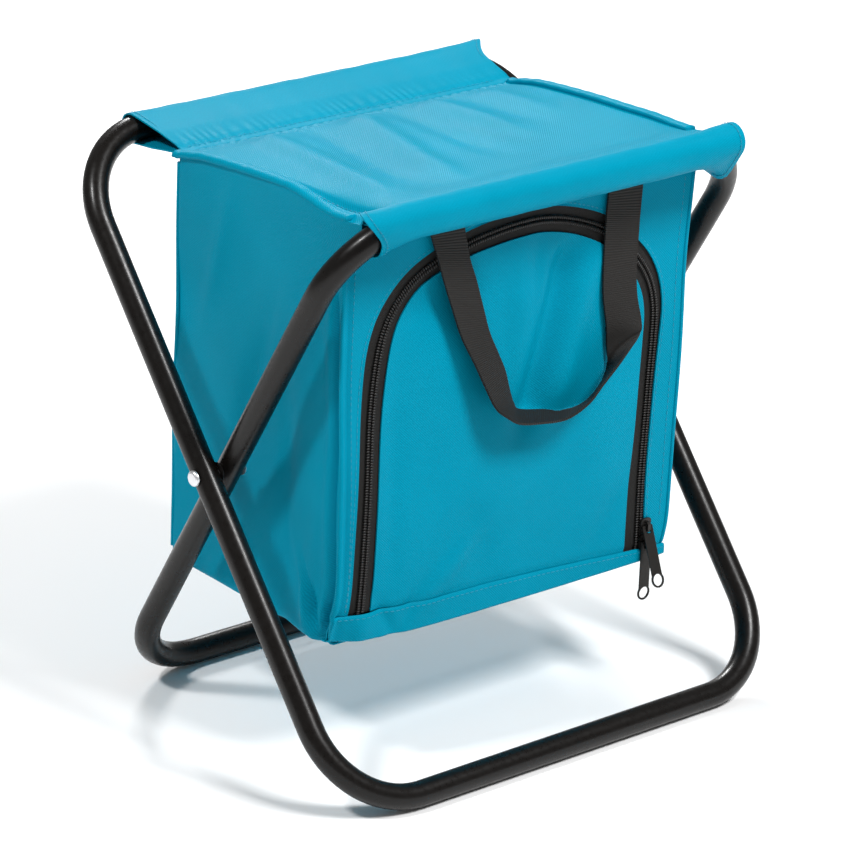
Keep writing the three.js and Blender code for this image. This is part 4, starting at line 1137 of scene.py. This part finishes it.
def flap_place(margin, depth, foot_lift=0.0):
    """The flap's panel inside the zip, laid between its foot, its legs and its crown."""
    legs = (share_near(113.5, 300), share_near(-117.5, 303))

    inside = lambda share: np.array(on_arch(share, -inner_half(share) - margin))
    right = lambda t: inside(t * legs[0])
    left = lambda t: inside(1 - t * (1 - legs[1]))
    start, end = np.zeros(1), np.ones(1)

    def foot(u):
        x = left(start)[0] + u * (right(start)[0] - left(start)[0])
        return np.array((x, band_seam(x) + 0.4))

    def place(u, v):
        crown = inside(legs[1] + u * (legs[0] - legs[1]))
        ruled = (1 - u) * left(v) + u * right(v) + (1 - v) * foot(u) + v * crown
        low = (1 - u) * foot(start) + u * foot(end)
        high = (1 - u) * left(end) + u * right(end)
        x, z = ruled - (1 - v) * low - v * high
        z = z + foot_lift * (1 - v)
        return x, front_face(x, z) + depth, z
    return place


def bend_flap(piece):
    """Bakes a flap piece's place into its mesh."""
    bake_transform(piece)


class STOOL_OT_front(Operator):
    """Builds the front panel round the zip, the band under it and their stitching"""
    bl_idname = "stool.front"
    bl_label = "Bag front"

    def execute(self, context):
        sizes = context.scene.stool_sizes
        panel = cloth_grid("front_cloth", 220, 34, front_panel_place, BEHIND, sizes.cloth, upright=True)
        finish_piece(panel, cloth_material(), "bag_front", ["front_panel"])
        band = cloth_grid("foot_band", 150, 24, band_place, BEHIND, sizes.cloth, upright=True)
        finish_piece(band, cloth_material(), "bag_front", ["front_band"])
        seam_x = np.linspace(-146, 143, 90)
        line = on_front(seam_x, band_seam(seam_x) - 2.4, -2.0)
        stitches("band_stitches", line, AHEAD, "bag_front")
        shares = np.linspace(0.004, 0.996, 300)
        x, z = on_arch(shares, outer_half(shares) + 2.4)
        stitches("arch_stitches", on_front(x, z, -0.15), AHEAD, "bag_front")
        for word, edge, step in (("left", left_edge, 7.5), ("right", right_edge, -7.0)):
            z = np.linspace(118, 364, 120)
            line = on_front(edge(z) + step, z, -0.15)
            stitches(f"edge_stitches_{word}", line, AHEAD, "bag_front")

            def cord(share, turn, edge=edge, step=step):
                z = 366 - share * (366 - 96)
                x = edge(z) + step * (0.35 * bump(z, 94, 12) - 0.06) + 1.6 * np.cos(turn)
                return x, front_face(edge(z), z) + 0.3 + 1.7 * np.sin(turn), z

            middle = (edge(240.0) * MM, BAG_FRONT * MM, 0.24)
            piping(f"corner_piping_{word}", middle, cord, "bag_front")
        return {"FINISHED"}


class STOOL_OT_flap(Operator):
    """Builds the arched flap with its foam and its silver lining"""
    bl_idname = "stool.flap"
    bl_label = "Flap"

    def execute(self, context):
        sizes = context.scene.stool_sizes
        flap = cloth_grid("flap_cloth", 110, 110, flap_place(0.0, 0.0), BEHIND, sizes.cloth, upright=True)
        foam = cloth_grid("flap_foam", 60, 60, flap_place(3.0, 1.9, 2.0), BEHIND, sizes.foam)
        film = cloth_grid("flap_film", 60, 60, flap_place(3.0, 6.3, 2.0), BEHIND, sizes.film)
        finish_piece(flap, cloth_material(), None, ["flap_panel"])
        finish_piece(foam, foam_material(), None, ["flap_insulation"])
        finish_piece(film, film_material(), None, ["flap_liner"])
        for piece in (flap, foam, film):
            bend_flap(piece)
        return {"FINISHED"}


class STOOL_OT_zip(Operator):
    """Builds the zip's two tapes and its split coil"""
    bl_idname = "stool.zip"
    bl_label = "Zip"

    def execute(self, context):
        sizes = context.scene.stool_sizes
        ribbon = zip_ribbon(lambda v: 0.25, lambda v: outer_half(v) + 2.6, 1.5)
        frame_tape = cloth_grid("zip_strip_frame", 8, 240, ribbon, BEHIND, 0.5 * MM)
        finish_piece(frame_tape, tape_material(), "bag_front", ["zip_tape_frame"])
        ribbon = zip_ribbon(lambda v: -inner_half(v) - 2.6, lambda v: -0.25, 1.5)
        flap_tape = cloth_grid("zip_strip_flap", 8, 240, ribbon, BEHIND, 0.5 * MM)
        finish_piece(flap_tape, tape_material(), None, ["zip_tape_flap"])
        bend_flap(flap_tape)
        for word, offset, shift in (("frame", 1.75, 0.0), ("flap", -1.75, 0.5)):
            x, z = on_arch(np.linspace(0.0, 1.0, 900), offset)
            inset = 0.001 + shift * sizes.tooth_pitch
            places = frames_along(on_front(x, z, 0.3), AHEAD, sizes.tooth_pitch, inset)
            coil = copies(f"zip_coil_{word}", bead(1.35, 3.3, 2.0), places)
            body = "bag_front" if word == "frame" else None
            finish_piece(coil, coil_material(), body, [f"zip_chain_{word}"])
            if word == "flap":
                bend_flap(coil)
        for name in ("zip_slider_lower", "zip_slider_upper", "zip_pull_lower", "zip_pull_upper"):
            node = dress(name, zip_metal_material())
            weld = node.modifiers.new("Weld", "WELD")
            weld.merge_threshold = TOUCHING
            round_off = node.modifiers.new("Bevel", "BEVEL")
            round_off.width = 0.00025
            round_off.segments = 2
            round_off.limit_method = "ANGLE"
            round_off.angle_limit = math.radians(40)
        return {"FINISHED"}


class STOOL_OT_handle(Operator):
    """Builds the webbing handle with the fold at its lower right"""
    bl_idname = "stool.handle"
    bl_label = "Handle"

    def execute(self, context):
        rows = 260
        # Both edges have as many knots, so the same share of the rows keeps them in step
        outer, inner = (through(knots, np.linspace(0, len(knots) - 1, rows + 1))
                        for knots in (STRAP_OUTER, STRAP_INNER))

        def place(u, v):
            a, b = (sample(line, np.arange(rows + 1), v * rows) for line in (outer, inner))
            x, y, z = (b + (a - b) * u[:, None]).T
            return x, np.where(z < 366, np.minimum(y, front_face(x, z) - 1.4), y), z

        thick = context.scene.stool_sizes.webbing
        strap = cloth_grid("webbing_handle", 10, rows, place, (0, 1, -1), thick, offset=0.0)
        apply_modifier(strap, "BEVEL", width=0.0004, segments=2, limit_method="ANGLE", angle_limit=math.radians(50))
        finish_piece(strap, webbing_material(), None, ["front_handle"])
        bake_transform(strap)
        return {"FINISHED"}


# Camera, floor and light
class STOOL_OT_stage(Operator):
    """Sets the camera, the pale floor and the soft light"""
    bl_idname = "stool.stage"
    bl_label = "Stage"

    def execute(self, context):
        azimuth, elevation, roll = (math.radians(a) for a in (VIEW_AZIMUTH, VIEW_ELEVATION, VIEW_ROLL))
        back = Vector((math.sin(azimuth) * math.cos(elevation), -math.cos(azimuth) * math.cos(elevation),
                       math.sin(elevation)))
        right = (-back).cross(Vector(UP)).normalized()
        up = right.cross(-back)
        across = right * math.cos(roll) + up * math.sin(roll)
        above = up * math.cos(roll) - right * math.sin(roll)
        data = bpy.data.cameras.new("camera")
        data.lens = VIEW_LENS
        data.sensor_width = 36
        data.clip_end = 20
        camera = bpy.data.objects.new("camera", data)
        context.scene.collection.objects.link(camera)
        camera.matrix_world = Matrix.Translation(VIEW_TARGET + back * VIEW_DISTANCE) @ Matrix(
            (across, above, back)).transposed().to_4x4()
        context.scene.camera = camera

        deselect()
        bpy.ops.mesh.primitive_plane_add(size=14, location=(0, 0, -0.0003))
        floor = name_piece("studio_floor")
        bpy.ops.object.transform_apply(location=True)
        floor.data.materials.append(floor_material())

        world = bpy.data.worlds.new("studio")
        context.scene.world = world
        world.use_nodes = True
        fill(world.node_tree, world.node_tree.nodes["Background"], {"Color": (1, 1, 1, 1), "Strength": SKY})
        for name, place, size, power in LAMPS:
            light = bpy.data.lights.new(name, "AREA")
            light.size = size
            light.energy = power
            lamp = bpy.data.objects.new(name, light)
            context.scene.collection.objects.link(lamp)
            lamp.location = place
            lamp.rotation_euler = (Vector((0, 0, 0.2)) - Vector(place)).to_track_quat("-Z", "Y").to_euler()
        context.scene.view_settings.view_transform = "Standard"
        return {"FINISHED"}


STEPS = (STOOL_OT_stage, STOOL_OT_frame, STOOL_OT_rivets, STOOL_OT_sleeves, STOOL_OT_seat, STOOL_OT_bag,
         STOOL_OT_front, STOOL_OT_zip, STOOL_OT_flap, STOOL_OT_handle)


class STOOL_PT_panel(Panel):
    bl_idname = "STOOL_PT_panel"
    bl_label = "Cooler stool"
    bl_space_type = "VIEW_3D"
    bl_region_type = "UI"
    bl_category = "Stool"

    def draw(self, context):
        for step in STEPS:
            self.layout.operator(step.bl_idname, text=step.bl_label)


def register():
    for item in (StoolSizes, StoolColours, *STEPS, STOOL_PT_panel):
        bpy.utils.register_class(item)
    bpy.types.Scene.stool_sizes = PointerProperty(type=StoolSizes)
    bpy.types.Scene.stool_colours = PointerProperty(type=StoolColours)


def unregister():
    del bpy.types.Scene.stool_sizes
    del bpy.types.Scene.stool_colours
    for item in reversed((StoolSizes, StoolColours, *STEPS, STOOL_PT_panel)):
        bpy.utils.unregister_class(item)


def main():
    register()
    bpy.context.view_layer.objects.active = None
    deselect()
    for step in STEPS:
        family, word = step.bl_idname.split(".")
        getattr(getattr(bpy.ops, family), word)()


if __name__ == "__main__":
    main()
